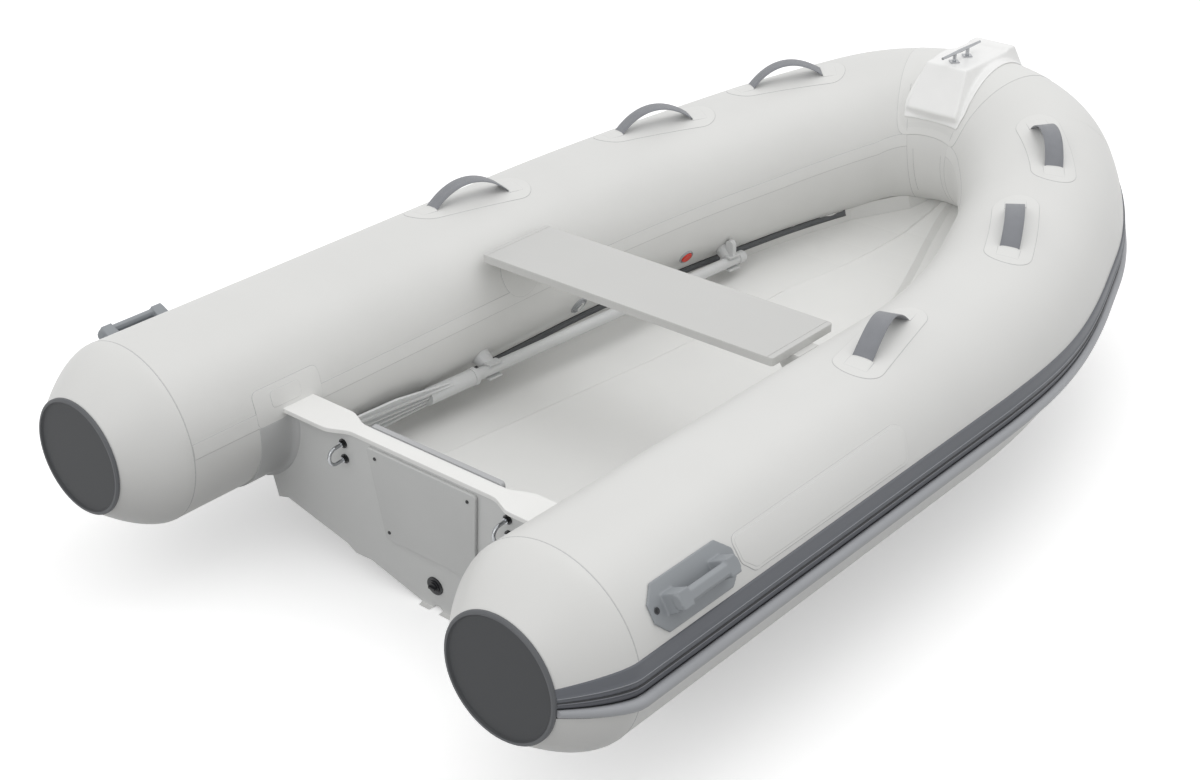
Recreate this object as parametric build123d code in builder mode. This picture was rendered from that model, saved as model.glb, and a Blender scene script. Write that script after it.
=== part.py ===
"""Rigid-bottom inflatable boat: side tubes and a bow tube round an aluminium V hull.

Millimetres. +X is starboard, +Y is forward, +Z is up. The origin lies on the floor under
the middle of the boat, and the boat stands on the flat of its keel.
"""

import os
from math import cos, degrees, radians, sin, sqrt, tan

from build123d import *

os.makedirs("parts", exist_ok=True)

# ------------------------------------------------------------------ driving sizes
length_overall = 2818.0
beam_overall = 1666.0
tube_radius = 210.0
tube_axis_height = 355.0  # axis of the side tubes above the floor

# The tube's axis turns at three corners on each side, given from the bow's axis
shoulder_back = 893.0
cheek_back = 282.0
cheek_inset = 194.0
cheek_rise = 65.0
nose_half_width = 176.0
bow_rise = 139.0
nose_flat = 4.0  # straight on the centreline, where the two halves meet

# Stern cones and their end caps
cone_length = 130.0
cone_turn = 0.55  # share of the cone's length behind its turn
cone_turn_width = 0.68  # share of the widening that lies behind the turn
cap_radius = 130.0
cap_depth = 8.0
cap_rim_lip = 3.0
cap_rim_width = 7.0
cap_dish = 4.0

# Rub band, its ridges and its bead, as angles round the tube from level outboard
band_top_angle = 15.0
band_bottom_angle = -16.0
band_thickness = 4.0
ridge_angles = (6.8, 2.4)
ridge_width = 3.0
ridge_height = 1.5
bead_angle = -9.0
bead_width = 36.0
bead_height = 20.0  # from the tube

# Transom
transom_setback = 414.0  # cap rim to the transom's aft face, at the axis height
transom_rake = 4.5
transom_thickness = 35.0
transom_top = 383.0
board_cap_thickness = 10.0
board_cap_overhang = 3.0
board_cap_edge = 2.0
wing_reach = 24.0
wing_start = 212.0
wing_end = 262.0
wing_turn = 60.0
motor_plate_top_half = 160.0
motor_plate_bottom_half = 132.0
motor_plate_drop = 8.0
motor_plate_height = 228.0
motor_plate_thickness = 8.0
plate_corner = 8.0
plate_edge = 1.5
motor_pad_half_width = 190.0
motor_pad_height = 170.0
motor_pad_thickness = 12.0
pad_slot_length = 34.0
pad_slot_width = 4.0
pad_slot_depth = 14.0
pad_slot_inset = 26.0  # pad's end to the slot's middle

# Stern fittings
tow_eye_spread = 240.0
tow_eye_height = 320.0
tow_eye_pitch = 39.0
tow_eye_reach = 45.0
tow_eye_rod = 4.0
tow_eye_washer = 11.0
washer_thickness = 3.0
nut_flats = 6.5
nut_thickness = 6.0
drain_height = 64.0
drain_radius = 22.0
drain_flange = 3.0
drain_seat_radius = 15.0
drain_seat_height = 6.0
drain_plug_radius = 11.0
drain_plug_height = 9.0
drain_key_length = 18.0
drain_key_width = 5.0
drain_key_height = 5.0

# Hull section at the transom: half widths, and heights above the floor
groove_half_width = 6.0
groove_depth = 8.0
keel_inner = 14.0
keel_outer = 46.0
strake_inner = 200.0
strake_outer = 250.0
strake_edge = 275.0
strake_height = 45.0
strake_lip_height = 43.0
strake_top_height = 59.0
chine_inner_from_axis = 140.0
chine_outer_from_axis = 108.0
chine_inner_height = 107.0
chine_outer_height = 97.0
flange_outer_from_axis = 92.0
flange_inner_from_axis = 118.0
flange_root_from_axis = 122.0
flange_below_axis = 170.0
hull_below_axis = 216.0  # hull's top beside the flange, below the tube's axis

# Hull forward of its straight run, measured back from the bow's axis
entry_back = 1150.0  # where the keel begins to rise
stem_back = 135.0
entry_stations = 10
keel_rise = 240.0
keel_power = 3.6
keel_narrowing = 0.7
hull_behind_transom = 60.0
nose_reach = 105.0  # under the bow tube, forward of the stem
nose_share = 0.35
nose_keel_lift = 50.0
nose_deck_lift = 36.0

# Deck
deck_thickness = 4.0
deck_crown = 12.0
fold_width = 18.0
fold_base = 82.0
fold_slope = 0.103
fold_taper = 0.286
fold_end_back = 126.0
fold_least = 12.0

# Clearances
soft_gap = 0.3
band_gap = 0.6  # rub band to the tube

# Bench
bench_end_from_axis = 178.0  # in from the side tube's axis
bench_width = 230.0
bench_thickness = 20.0
bench_forward = 755.0  # transom to the bench's middle
bench_above_axis = 158.0
bench_corner = 8.0
bench_edge = 2.0
bench_trim = 14.0
trim_groove = 1.0
bracket_inner = 54.0  # in from the bench's end
bracket_outer = 16.0  # out past the bench's end
bracket_drop = 42.0
bracket_slant = 26.0  # bracket's lower inner corner, in from the bench's end
bracket_width = 74.0

# Oars
oar_shaft_radius = 15.0
oar_axis_from_tube = 243.0  # at the blade's root
oar_drop = 130.0
oar_slant = 4.2
oar_front = 1556.0  # transom to the grip's end
oar_rear = 85.0
blade_length = 400.0
blade_root_width = 44.0
blade_flare = 190.0
blade_width = 126.0
blade_thickness = 5.0
blade_corner = 26.0
rib_width = 8.0
rib_height = 6.0
rib_spread = (-0.4, -0.13, 0.13, 0.4)  # shares of the blade's width
rib_end = 30.0
socket_radius = 21.0
socket_length = 70.0
collar_radius = 23.0
collar_length = 12.0
grip_radius = 17.0
grip_length = 24.0

# Clips that hold the oars
clip_gap = 1.0
clip_wall = 5.0
clip_length = 40.0
clip_forward = (622.0, 1506.0)  # transom to each clip
clip_stem_radius = 16.0
clip_stem_taper = 12.0
clip_ear_height = 62.0  # above the shaft's axis
clip_ear_width = 26.0
clip_ear_thickness = 14.0
clip_ear_corner = 12.0

# Grab straps
strap_width = 46.0
strap_thickness = 3.0
strap_span = 250.0
strap_rise = 45.0
strap_from_bow = (1384.0, 689.0, 254.0)

# Bow step, whose profile is given from the bow tube's axis
step_half_width = 62.0
step_side_slope = 9.0
step_corner = 30.0
step_margin = 6.0
step_top = 14.0  # above the bow tube
step_back = 186.0
step_back_height = 72.0
step_lip_back = 216.0
step_lip_height = 110.0
step_plateau_back = 150.0
step_plateau_front = 110.0
step_front = 190.0
step_front_height = 80.0
step_flare = 20.0
step_flange_thickness = 5.0
step_flange_margin = 12.0
step_flange_corner = 45.0
step_flange_foot = 78.0  # lowest edge, above the bow tube's axis
roll_height = 6.0
roll_width = 40.0

# Cleat
cleat_length = 194.0
cleat_back = 76.0  # behind the bow tube's axis
cleat_bar = 5.0
cleat_tip = 3.5
cleat_leg = 5.0
cleat_height = 25.0
cleat_leg_pitch = 67.0
cleat_foot = 17.0
cleat_foot_height = 3.0

# Carry handles
handle_back = 97.0  # transom back to the handle's middle
handle_angle = 31.5
handle_length = 246.0
handle_width = 96.0
handle_corner = 30.0
handle_pad_thickness = 5.0
handle_stand_off = 24.0  # pad to the grip's underside
grip_bar_length = 172.0
grip_bar_width = 28.0
grip_bar_thickness = 18.0
grip_bar_chamfer = 6.0
grip_block_length = 34.0
grip_block_width = 42.0
grip_block_taper = 4.0
handle_eye_radius = 6.0
handle_eye_inset = 16.0

# Valves
valve_angle = -29.0
valve_forward = 990.0
relief_forward = 1440.0
valve_ring_radius = 26.0
valve_ring_height = 4.0
valve_groove_radius = 21.0
valve_cap_radius = 18.0
valve_cap_height = 7.0
relief_scale = 0.85

# ------------------------------------------------------------------ worked-out places
stern_y = -length_overall / 2
cap_y = stern_y + cap_depth
cone_front_y = cap_y + cone_length
transom_y = cap_y + transom_setback
axis_x = beam_overall / 2 - bead_height - tube_radius
bench_length = 2 * (axis_x - bench_end_from_axis)
bow_y = length_overall / 2 - bead_height - tube_radius
axis_z = tube_axis_height
section_plane = Plane(origin=(axis_x, cone_front_y, axis_z), x_dir=(1, 0, 0), z_dir=(0, -1, 0))
transom_plane = Plane(
    origin=(0, transom_y, axis_z),
    x_dir=(1, 0, 0),
    z_dir=(0, -cos(radians(transom_rake)), -sin(radians(transom_rake))),
)


def distance(a, b):
    return (Vector(*a) - Vector(*b)).length


def corner_radius(before, corner, after, tangent_length):
    """The radius whose tangents reach this far from a corner."""
    turn = (Vector(*corner) - Vector(*before)).get_angle(Vector(*after) - Vector(*corner))
    return tangent_length / tan(radians(turn / 2))


def polar(radius, angle):
    return (radius * cos(radians(angle)), radius * sin(radians(angle)))


start = (axis_x, cone_front_y, axis_z)
shoulder = (axis_x, bow_y - shoulder_back, axis_z)
cheek = (axis_x - cheek_inset, bow_y - cheek_back, axis_z + cheek_rise)
nose = (nose_half_width, bow_y, axis_z + bow_rise)
middle = (0, bow_y, axis_z + bow_rise)
starboard_corners = [start, shoulder, cheek, nose]
port_corners = [(-x, y, z) for x, y, z in reversed(starboard_corners)]
bend_radii = [
    corner_radius(start, shoulder, cheek, distance(shoulder, cheek) / 2),
    corner_radius(shoulder, cheek, nose, distance(cheek, nose) / 2),
    corner_radius(cheek, nose, middle, min(nose_half_width, distance(cheek, nose) / 2) - nose_flat),
]
tube_axis = FilletPolyline(*starboard_corners, *port_corners, radius=bend_radii + bend_radii[::-1])
axis_edges = tube_axis.edges()
side_axis = Wire(axis_edges[:4])
bow_axis = Wire(axis_edges[4:9])
whole_axis = Wire(axis_edges)


def axis_at(y, inboard=0.0):
    """The point on the tube's axis whose level offset inboard lies at this y."""
    low, high = 0.0, 0.5
    for _ in range(40):
        u = (low + high) / 2
        point = whole_axis.position_at(u)
        along = whole_axis.tangent_at(u)
        level = Vector(-along.Y, along.X, 0).normalized()
        if point.Y + level.Y * inboard < y:
            low = u
        else:
            high = u
    return point, along, point.X + level.X * inboard


def tube_plane(y):
    """A plane across the starboard tube at y: x outboard, y up."""
    point, along, _ = axis_at(y)
    out = Vector(along.Y, -along.X, 0).normalized()
    return Plane(origin=point, x_dir=out, z_dir=-along)


def both_sides(half):
    return half + [(-x, z) for x, z in reversed(half)]


def largest(part):
    return part.solids().sort_by(SortBy.VOLUME)[-1]


def save(part, name):
    part.label = name
    export_step(part, f"parts/{name}.step")


def save_pair(part, name):
    save(part, f"{name}_starboard")
    save(mirror(part, about=Plane.YZ), f"{name}_port")


# ------------------------------------------------------------------ air tubes
with BuildPart() as side_tube:
    with BuildSketch(section_plane):
        Circle(tube_radius)
    sweep(path=side_axis)
save_pair(side_tube.part, "tube")

with BuildPart() as bow_tube:
    with BuildSketch(Plane(origin=bow_axis @ 0, z_dir=bow_axis % 0)):
        Circle(tube_radius)
    sweep(path=bow_axis)
save(bow_tube.part, "tube_bow")

# The air tubes grown by the clearance, which shapes whatever sits on them
with BuildPart() as tube_space:
    with BuildSketch(section_plane):
        Circle(tube_radius + soft_gap)
    sweep(path=whole_axis)

# ------------------------------------------------------------------ stern cones and caps
cone_plane = Plane(origin=(axis_x, 0, axis_z), x_dir=(1, 0, 0), z_dir=(0, 0, 1))
cone_axis = Axis((axis_x, 0, axis_z), (0, 1, 0))
cone_side = [
    (cap_radius, cap_y),
    (cap_radius + (tube_radius - cap_radius) * cone_turn_width, cap_y + cone_length * cone_turn),
    (tube_radius, cone_front_y),
]
with BuildPart() as cone:
    with BuildSketch(cone_plane):
        Polygon((0, cap_y), *cone_side, (0, cone_front_y), align=None)
    revolve(axis=cone_axis)
save_pair(cone.part, "cone")

cap_rim = cap_radius + cap_rim_lip
with BuildPart() as end_cap:
    with BuildSketch(cone_plane):
        Polygon(
            (0, cap_y - soft_gap),
            (cap_rim, cap_y - soft_gap),
            (cap_rim, stern_y + cap_rim_lip),
            (cap_rim - cap_rim_lip, stern_y),
            (cap_rim - cap_rim_width, stern_y),
            (cap_rim - cap_rim_width - cap_dish, stern_y + cap_dish),
            (0, stern_y + cap_dish),
            align=None,
        )
    revolve(axis=cone_axis)
save_pair(end_cap.part, "end_cap")

# ------------------------------------------------------------------ rub band and bead


def ring_sector(inner, outer, top_angle, bottom_angle):
    """A flat sector of a ring."""
    with BuildSketch() as sector:
        with BuildLine():
            CenterArc((0, 0), inner, bottom_angle, top_angle - bottom_angle)
            Line(polar(inner, top_angle), polar(outer, top_angle))
            CenterArc((0, 0), outer, bottom_angle, top_angle - bottom_angle)
            Line(polar(outer, bottom_angle), polar(inner, bottom_angle))
        make_face()
    return sector.sketch


def cone_sector(points, top_angle, bottom_angle):
    """A strip beside the cone, revolved from one angle to the other."""
    edge_plane = Plane(
        origin=(axis_x, 0, axis_z),
        x_dir=(cos(radians(bottom_angle)), 0, sin(radians(bottom_angle))),
        z_dir=(-sin(radians(bottom_angle)), 0, cos(radians(bottom_angle))),
    )
    with BuildPart() as strip:
        with BuildSketch(edge_plane):
            Polygon(*points, align=None)
        revolve(axis=Axis((axis_x, 0, axis_z), (0, -1, 0)), revolution_arc=top_angle - bottom_angle)
    return strip.part


# The band stays level round the bow, and runs down each cone to the cap's rim
level_guide = whole_axis.translate((0, 0, -tube_radius))
with BuildPart() as rub_band:
    with BuildSketch(section_plane):
        band_inner, band_outer = tube_radius + band_gap, tube_radius + band_thickness
        add(ring_sector(band_inner, band_outer, band_top_angle, band_bottom_angle))
        for angle in ridge_angles:
            with Locations(Rotation(0, 0, angle)):
                with Locations((band_outer + (ridge_height - soft_gap) / 2, 0)):
                    Rectangle(ridge_height + soft_gap, ridge_width)
    sweep(path=whole_axis, binormal=level_guide)
    under = [(x + band_gap, y) for x, y in cone_side]
    over = [(x + band_thickness, y) for x, y in reversed(cone_side)]
    cone_band = cone_sector(under + over, band_top_angle, band_bottom_angle)
    add(cone_band)
    add(cone_band.mirror(Plane.YZ))
save(rub_band.part, "rub_band")


def bead_section(radius):
    """The bead's section, seated on the band at this radius."""
    seat = radius + band_thickness + soft_gap
    half_angle = degrees(bead_width / 2 / seat)
    top, bottom = polar(seat, bead_angle + half_angle), polar(seat, bead_angle - half_angle)
    with BuildSketch() as section:
        with BuildLine():
            ThreePointArc(bottom, polar(seat, bead_angle), top)
            Polyline(
                top,
                polar(radius + bead_height, bead_angle + half_angle / 2),
                polar(radius + bead_height, bead_angle - half_angle / 2),
                bottom,
            )
        make_face()
    return section.sketch


with BuildPart() as bead_end:
    for radius, y in cone_side:
        with BuildSketch(section_plane.offset(cone_front_y - y)):
            add(bead_section(radius))
    loft(ruled=True)
with BuildPart() as rub_bead:
    with BuildSketch(section_plane):
        add(bead_section(tube_radius))
    sweep(path=whole_axis, binormal=level_guide)
    add(bead_end.part)
    add(bead_end.part.mirror(Plane.YZ))
save(rub_bead.part, "rub_bead")

# ------------------------------------------------------------------ hull, deck and transom


def fold_half_width(back):
    """Half width of the deck's raised middle."""
    return max(fold_least, min(fold_base + fold_slope * back, fold_taper * (back - fold_end_back)))


def hull_outline(y, keel, share):
    """Half of the hull's section at y, from the keel out to the chine."""
    height = axis_at(y, chine_outer_from_axis)[0].Z - axis_z
    chine_outer = axis_at(y, chine_outer_from_axis)[2]
    chine_share = chine_outer / (axis_x - chine_outer_from_axis)
    chine_inner = (axis_x - chine_inner_from_axis) * chine_share
    lift = (chine_inner_height + height - keel) / chine_inner_height
    return [
        (groove_half_width * share, keel + groove_depth * share),
        (keel_inner * share, keel),
        (keel_outer * share, keel),
        (strake_inner * chine_share, keel + strake_height * lift),
        (strake_outer * chine_share, keel + strake_lip_height * lift),
        (strake_edge * chine_share, keel + strake_top_height * lift),
        (chine_inner, chine_inner_height + height),
        (chine_outer, chine_outer_height + height),
    ]


def flange_line(y):
    """The hull's upstand against the tube."""
    edges = [axis_at(y, flange_outer_from_axis), axis_at(y, flange_inner_from_axis)]
    return [(x, point.Z - flange_below_axis) for point, _, x in edges]


def deck_line(y, fold):
    """Half of the hull's top at y: flange root, outer fold and inner fold."""
    point, _, root = axis_at(y, flange_root_from_axis)
    low = point.Z - hull_below_axis
    inner_fold = min(fold, root - 2 * fold_width)
    return [(root, low), (inner_fold + fold_width, low), (inner_fold, low + deck_crown)]


def tucked(points, lift):
    """A section drawn in and lifted, to end under the bow tube."""
    return [(x * nose_share, z + lift) for x, z in points]


stern_end = transom_y - hull_behind_transom
stations = [(stern_end, 0.0, 1.0, fold_half_width(bow_y - stern_end))]
for i in range(entry_stations + 1):
    t = i / entry_stations
    back = entry_back + (stem_back - entry_back) * t
    stations.append((bow_y - back, keel_rise * t**keel_power, 1 - keel_narrowing * t, fold_half_width(back)))
stem_y, stem_keel, stem_share, stem_fold = stations[-1]
nose_y = stem_y + nose_reach
behind_transom = transom_plane.offset(-transom_thickness - soft_gap)

with BuildPart() as hull:
    for y, keel, share, fold in stations:
        with BuildSketch(Plane.XZ.offset(-y)):
            Polygon(*both_sides(hull_outline(y, keel, share) + flange_line(y) + deck_line(y, fold)), align=None)
    with BuildSketch(Plane.XZ.offset(-nose_y)):
        below = tucked(hull_outline(stem_y, stem_keel, stem_share), nose_keel_lift)
        above = tucked(flange_line(stem_y) + deck_line(stem_y, stem_fold), nose_deck_lift)
        Polygon(*both_sides(below + above), align=None)
    loft(ruled=True)
    add(tube_space.part, mode=Mode.SUBTRACT)
    with BuildSketch(behind_transom):
        Rectangle(beam_overall, 2 * axis_z)
    extrude(amount=4 * hull_behind_transom, mode=Mode.SUBTRACT)
save(largest(hull.part), "hull_bottom")


def deck_section(points):
    """The deck's sheet over a line of the hull's top."""
    (root, low), *fold = points
    under = [(x, z + soft_gap) for x, z in [*reversed(fold), (root - soft_gap, low)]]
    over = [(x, z + deck_thickness) for x, z in reversed(under)]
    return both_sides(under + over)


with BuildPart() as deck:
    for y, keel, share, fold in stations:
        with BuildSketch(Plane.XZ.offset(-y)):
            Polygon(*deck_section(deck_line(y, fold)), align=None)
    with BuildSketch(Plane.XZ.offset(-nose_y)):
        Polygon(*deck_section(tucked(deck_line(stem_y, stem_fold), nose_deck_lift)), align=None)
    loft(ruled=True)
    add(tube_space.part, mode=Mode.SUBTRACT)
    with BuildSketch(behind_transom):
        Rectangle(beam_overall, 2 * axis_z)
    extrude(amount=4 * hull_behind_transom, mode=Mode.SUBTRACT)
save(largest(deck.part), "deck")

cap_bottom = transom_top - board_cap_thickness
with BuildPart() as transom:
    with BuildSketch(transom_plane):
        rim = [(x, z - axis_z) for x, z in hull_outline(transom_y, 0.0, 1.0)]
        rim += [
            (axis_x - flange_outer_from_axis, -flange_below_axis),
            (axis_x - tube_radius / 2, transom_top - axis_z),
        ]
        Polygon(*both_sides(rim), align=None)
    extrude(amount=-transom_thickness)
    split(bisect_by=Plane.XY.offset(cap_bottom), keep=Keep.BOTTOM)
    add(tube_space.part, mode=Mode.SUBTRACT)
save(transom.part, "transom")

cap_aft = transom_y - (transom_top - axis_z) * tan(radians(transom_rake)) - board_cap_overhang
cap_fore = cap_aft + transom_thickness + 2 * board_cap_overhang
with BuildPart() as board_cap:
    with BuildSketch(Plane.XY.offset(cap_bottom)) as cap_outline:
        aft = [(wing_start, cap_aft), (wing_end, cap_aft - wing_reach), (axis_x, cap_aft - wing_reach)]
        fore = [(axis_x, cap_fore + wing_reach), (wing_end, cap_fore + wing_reach), (wing_start, cap_fore)]
        Polygon(*(aft + fore + [(-x, y) for x, y in reversed(aft + fore)]), align=None)
        fillet([v for v in cap_outline.vertices() if abs(v.X) <= wing_end], wing_turn)
    extrude(amount=board_cap_thickness)
    fillet(board_cap.edges().group_by(Axis.Z)[-1], board_cap_edge)
    add(tube_space.part, mode=Mode.SUBTRACT)
save(board_cap.part, "transom_cap")

with BuildPart() as motor_plate:
    plate_top = cap_bottom - axis_z - motor_plate_drop
    with BuildSketch(transom_plane.offset(soft_gap)):
        Polygon(
            (-motor_plate_top_half, plate_top),
            (motor_plate_top_half, plate_top),
            (motor_plate_bottom_half, plate_top - motor_plate_height),
            (-motor_plate_bottom_half, plate_top - motor_plate_height),
            align=None,
        )
        fillet(vertices(), plate_corner)
    extrude(amount=motor_plate_thickness)
    chamfer(motor_plate.faces().sort_by(Axis.Y)[0].edges(), plate_edge)
save(motor_plate.part, "motor_plate")

# The inner pad stands clear of the cap's edge, with a slot through it at each end
with BuildPart() as motor_pad:
    pad_plane = transom_plane.offset(-transom_thickness - board_cap_overhang - 2 * soft_gap)
    with BuildSketch(pad_plane):
        with Locations((0, transom_top - axis_z - motor_pad_height / 2)):
            RectangleRounded(2 * motor_pad_half_width, motor_pad_height, plate_corner)
    extrude(amount=-motor_pad_thickness)
    with BuildSketch(Plane.XY.offset(transom_top)):
        with Locations((0, cap_fore + motor_pad_thickness / 2)):
            with GridLocations(2 * (motor_pad_half_width - pad_slot_inset), 0, 2, 1):
                SlotOverall(pad_slot_length, pad_slot_width)
    extrude(amount=-pad_slot_depth, mode=Mode.SUBTRACT)
save(motor_pad.part, "motor_pad")

# ------------------------------------------------------------------ stern fittings
eye_v = tow_eye_height - axis_z
eye_half = tow_eye_pitch / 2
with BuildPart() as tow_eye:
    with BuildSketch(transom_plane.offset(soft_gap)):
        with Locations((tow_eye_spread, eye_v + eye_half), (tow_eye_spread, eye_v - eye_half)):
            Circle(tow_eye_washer)
    extrude(amount=washer_thickness)
    with BuildSketch(transom_plane.offset(soft_gap + washer_thickness)):
        with Locations((tow_eye_spread, eye_v + eye_half), (tow_eye_spread, eye_v - eye_half)):
            RegularPolygon(nut_flats, 6, major_radius=False)
    extrude(amount=nut_thickness)
    eye_plane = Plane(
        origin=transom_plane.from_local_coords((tow_eye_spread, eye_v, 0)),
        x_dir=transom_plane.z_dir,
        z_dir=transom_plane.x_dir,
    )
    with BuildLine(eye_plane) as eye_line:
        lower, upper = (tow_eye_reach - eye_half, -eye_half), (tow_eye_reach - eye_half, eye_half)
        Line((washer_thickness, -eye_half), lower)
        ThreePointArc(lower, (tow_eye_reach, 0), upper)
        Line(upper, (washer_thickness, eye_half))
    with BuildSketch(Plane(origin=eye_line.line @ 0, z_dir=eye_line.line % 0)):
        Circle(tow_eye_rod)
    sweep(path=eye_line.line)
save_pair(tow_eye.part, "tow_eye")

drain_plane = Plane(
    origin=transom_plane.from_local_coords((0, drain_height - axis_z, soft_gap)),
    x_dir=transom_plane.x_dir,
    z_dir=transom_plane.z_dir,
)
with BuildPart() as drain:
    for radius, height in (
        (drain_radius, drain_flange),
        (drain_seat_radius, drain_seat_height),
        (drain_plug_radius, drain_plug_height),
    ):
        with BuildSketch(drain_plane):
            Circle(radius)
        extrude(amount=height)
    with BuildSketch(drain_plane.offset(drain_plug_height)):
        Rectangle(drain_key_length, drain_key_width)
    extrude(amount=drain_key_height)
save(drain.part, "drain_fitting")

# ------------------------------------------------------------------ bench
bench_y = transom_y + bench_forward
bench_top = axis_z + bench_above_axis
bench_under = bench_top - bench_thickness
with BuildPart() as bench:
    with BuildSketch(Plane.XY.offset(bench_under)):
        with Locations((0, bench_y)):
            RectangleRounded(bench_length, bench_width, bench_corner)
    extrude(amount=bench_thickness)
    fillet(bench.edges().group_by(Axis.Z)[-1], bench_edge)
    with BuildSketch(Plane.XY.offset(bench_top)):
        with Locations((0, bench_y)):
            with GridLocations(bench_length - 2 * bench_trim, 0, 2, 1):
                Rectangle(trim_groove, bench_width)
    extrude(amount=-trim_groove, mode=Mode.SUBTRACT)
save(bench.part, "bench")

bracket_top = bench_under - soft_gap
with BuildPart() as bracket:
    with BuildSketch(Plane.XZ.offset(bracket_width / 2 - bench_y)):
        Polygon(
            (bench_length / 2 - bracket_inner, bracket_top),
            (bench_length / 2 + bracket_outer, bracket_top),
            (bench_length / 2 + bracket_outer, bracket_top - bracket_drop),
            (bench_length / 2 - bracket_slant, bracket_top - bracket_drop),
            align=None,
        )
    extrude(amount=-bracket_width)
    add(tube_space.part, mode=Mode.SUBTRACT)
save_pair(largest(bracket.part), "bench_bracket")

# ------------------------------------------------------------------ oars and clips
ferrule_forward = oar_rear + blade_length
oar_side_offset = sqrt(oar_axis_from_tube**2 - oar_drop**2)
oar_along = Vector(-sin(radians(oar_slant)), cos(radians(oar_slant)), 0)
off_tube = Vector(-oar_side_offset, 0, -oar_drop).normalized()
ferrule = Vector(axis_x - oar_side_offset, transom_y + ferrule_forward, axis_z - oar_drop)


def oar_plane(forward):
    """A plane across the starboard oar: x inboard and level, y up, z forward along the shaft."""
    step = (forward - ferrule_forward) / cos(radians(oar_slant))
    return Plane(origin=ferrule + oar_along * step, x_dir=Vector(-oar_along.Y, oar_along.X, 0), z_dir=oar_along)


blade_plane = Plane(origin=ferrule, x_dir=oar_along, z_dir=off_tube - oar_along * off_tube.dot(oar_along))
with BuildPart() as oar:
    with BuildSketch(blade_plane.offset(-blade_thickness / 2)) as blade_outline:
        Polygon(
            (0, blade_root_width / 2),
            (-blade_flare, blade_width / 2),
            (-blade_length, blade_width / 2),
            (-blade_length, -blade_width / 2),
            (-blade_flare, -blade_width / 2),
            (0, -blade_root_width / 2),
            align=None,
        )
        fillet(blade_outline.vertices().group_by(Axis.Y)[0], blade_corner)
    extrude(amount=blade_thickness)
    with BuildSketch(blade_plane):
        for share in rib_spread:
            root, tip = share * blade_root_width, share * blade_width
            Polygon(
                (0, root + rib_width / 2),
                (rib_end - blade_length, tip + rib_width / 2),
                (rib_end - blade_length, tip - rib_width / 2),
                (0, root - rib_width / 2),
                align=None,
            )
    extrude(amount=blade_thickness / 2 + rib_height)
    with BuildSketch(oar_plane(ferrule_forward - socket_length)):
        Circle(oar_shaft_radius)
    extrude(amount=oar_front - ferrule_forward + socket_length)
    with BuildSketch(oar_plane(ferrule_forward - socket_length)):
        Circle(socket_radius)
    extrude(amount=2 * socket_length)
    with BuildSketch(oar_plane(ferrule_forward + socket_length)):
        Circle(collar_radius)
    extrude(amount=collar_length)
    with BuildSketch(oar_plane(oar_front - grip_length)):
        Circle(grip_radius)
    extrude(amount=grip_length)
save_pair(oar.part, "oar")

clip_inner = oar_shaft_radius + clip_gap
clip_outer = clip_inner + clip_wall
with BuildPart() as oar_clips:
    for forward in clip_forward:
        seat = oar_plane(forward)
        with BuildSketch(seat.offset(-clip_length / 2)):
            Circle(clip_outer)
            with Locations((clip_inner / 2, 0)):
                Rectangle(clip_inner, 2 * clip_outer)
        extrude(amount=clip_length)
        toward_tube = axis_at(seat.origin.Y, oar_side_offset)[0] - seat.origin
        with BuildSketch(Plane(origin=seat.origin, z_dir=toward_tube)):
            Circle(clip_stem_radius)
        extrude(amount=toward_tube.length - tube_radius / 2, taper=-clip_stem_taper)
    with BuildSketch(oar_plane(clip_forward[-1]).offset(-clip_ear_thickness / 2)):
        with Locations((0, clip_ear_height / 2)):
            RectangleRounded(clip_ear_width, clip_ear_height, clip_ear_corner)
    extrude(amount=clip_ear_thickness)
    for forward in clip_forward:
        with BuildSketch(oar_plane(forward).offset(-clip_length)):
            Circle(clip_inner)
            with Locations((clip_inner, 0)):
                Rectangle(2 * clip_inner, 2 * clip_inner)
        extrude(amount=2 * clip_length, mode=Mode.SUBTRACT)
    add(tube_space.part, mode=Mode.SUBTRACT)
save_pair(oar_clips.part, "oar_clips")

# ------------------------------------------------------------------ grab straps
half_span = strap_span / 2
for number, back in enumerate(strap_from_bow, start=1):
    across = tube_plane(bow_y - back)
    strap_origin = across.origin + across.y_dir * (tube_radius + soft_gap)
    profile_plane = Plane(origin=strap_origin, x_dir=-across.z_dir, z_dir=across.x_dir)
    with BuildPart() as strap:
        with BuildSketch(profile_plane.offset(-strap_width / 2)):
            with BuildLine():
                ThreePointArc((-half_span, 0), (0, strap_rise), (half_span, 0))
                offset(amount=strap_thickness, side=Side.LEFT, closed=True)
            make_face()
        extrude(amount=strap_width)
        add(tube_space.part, mode=Mode.SUBTRACT)
    save_pair(strap.part, f"grab_strap_{number}")

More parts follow.
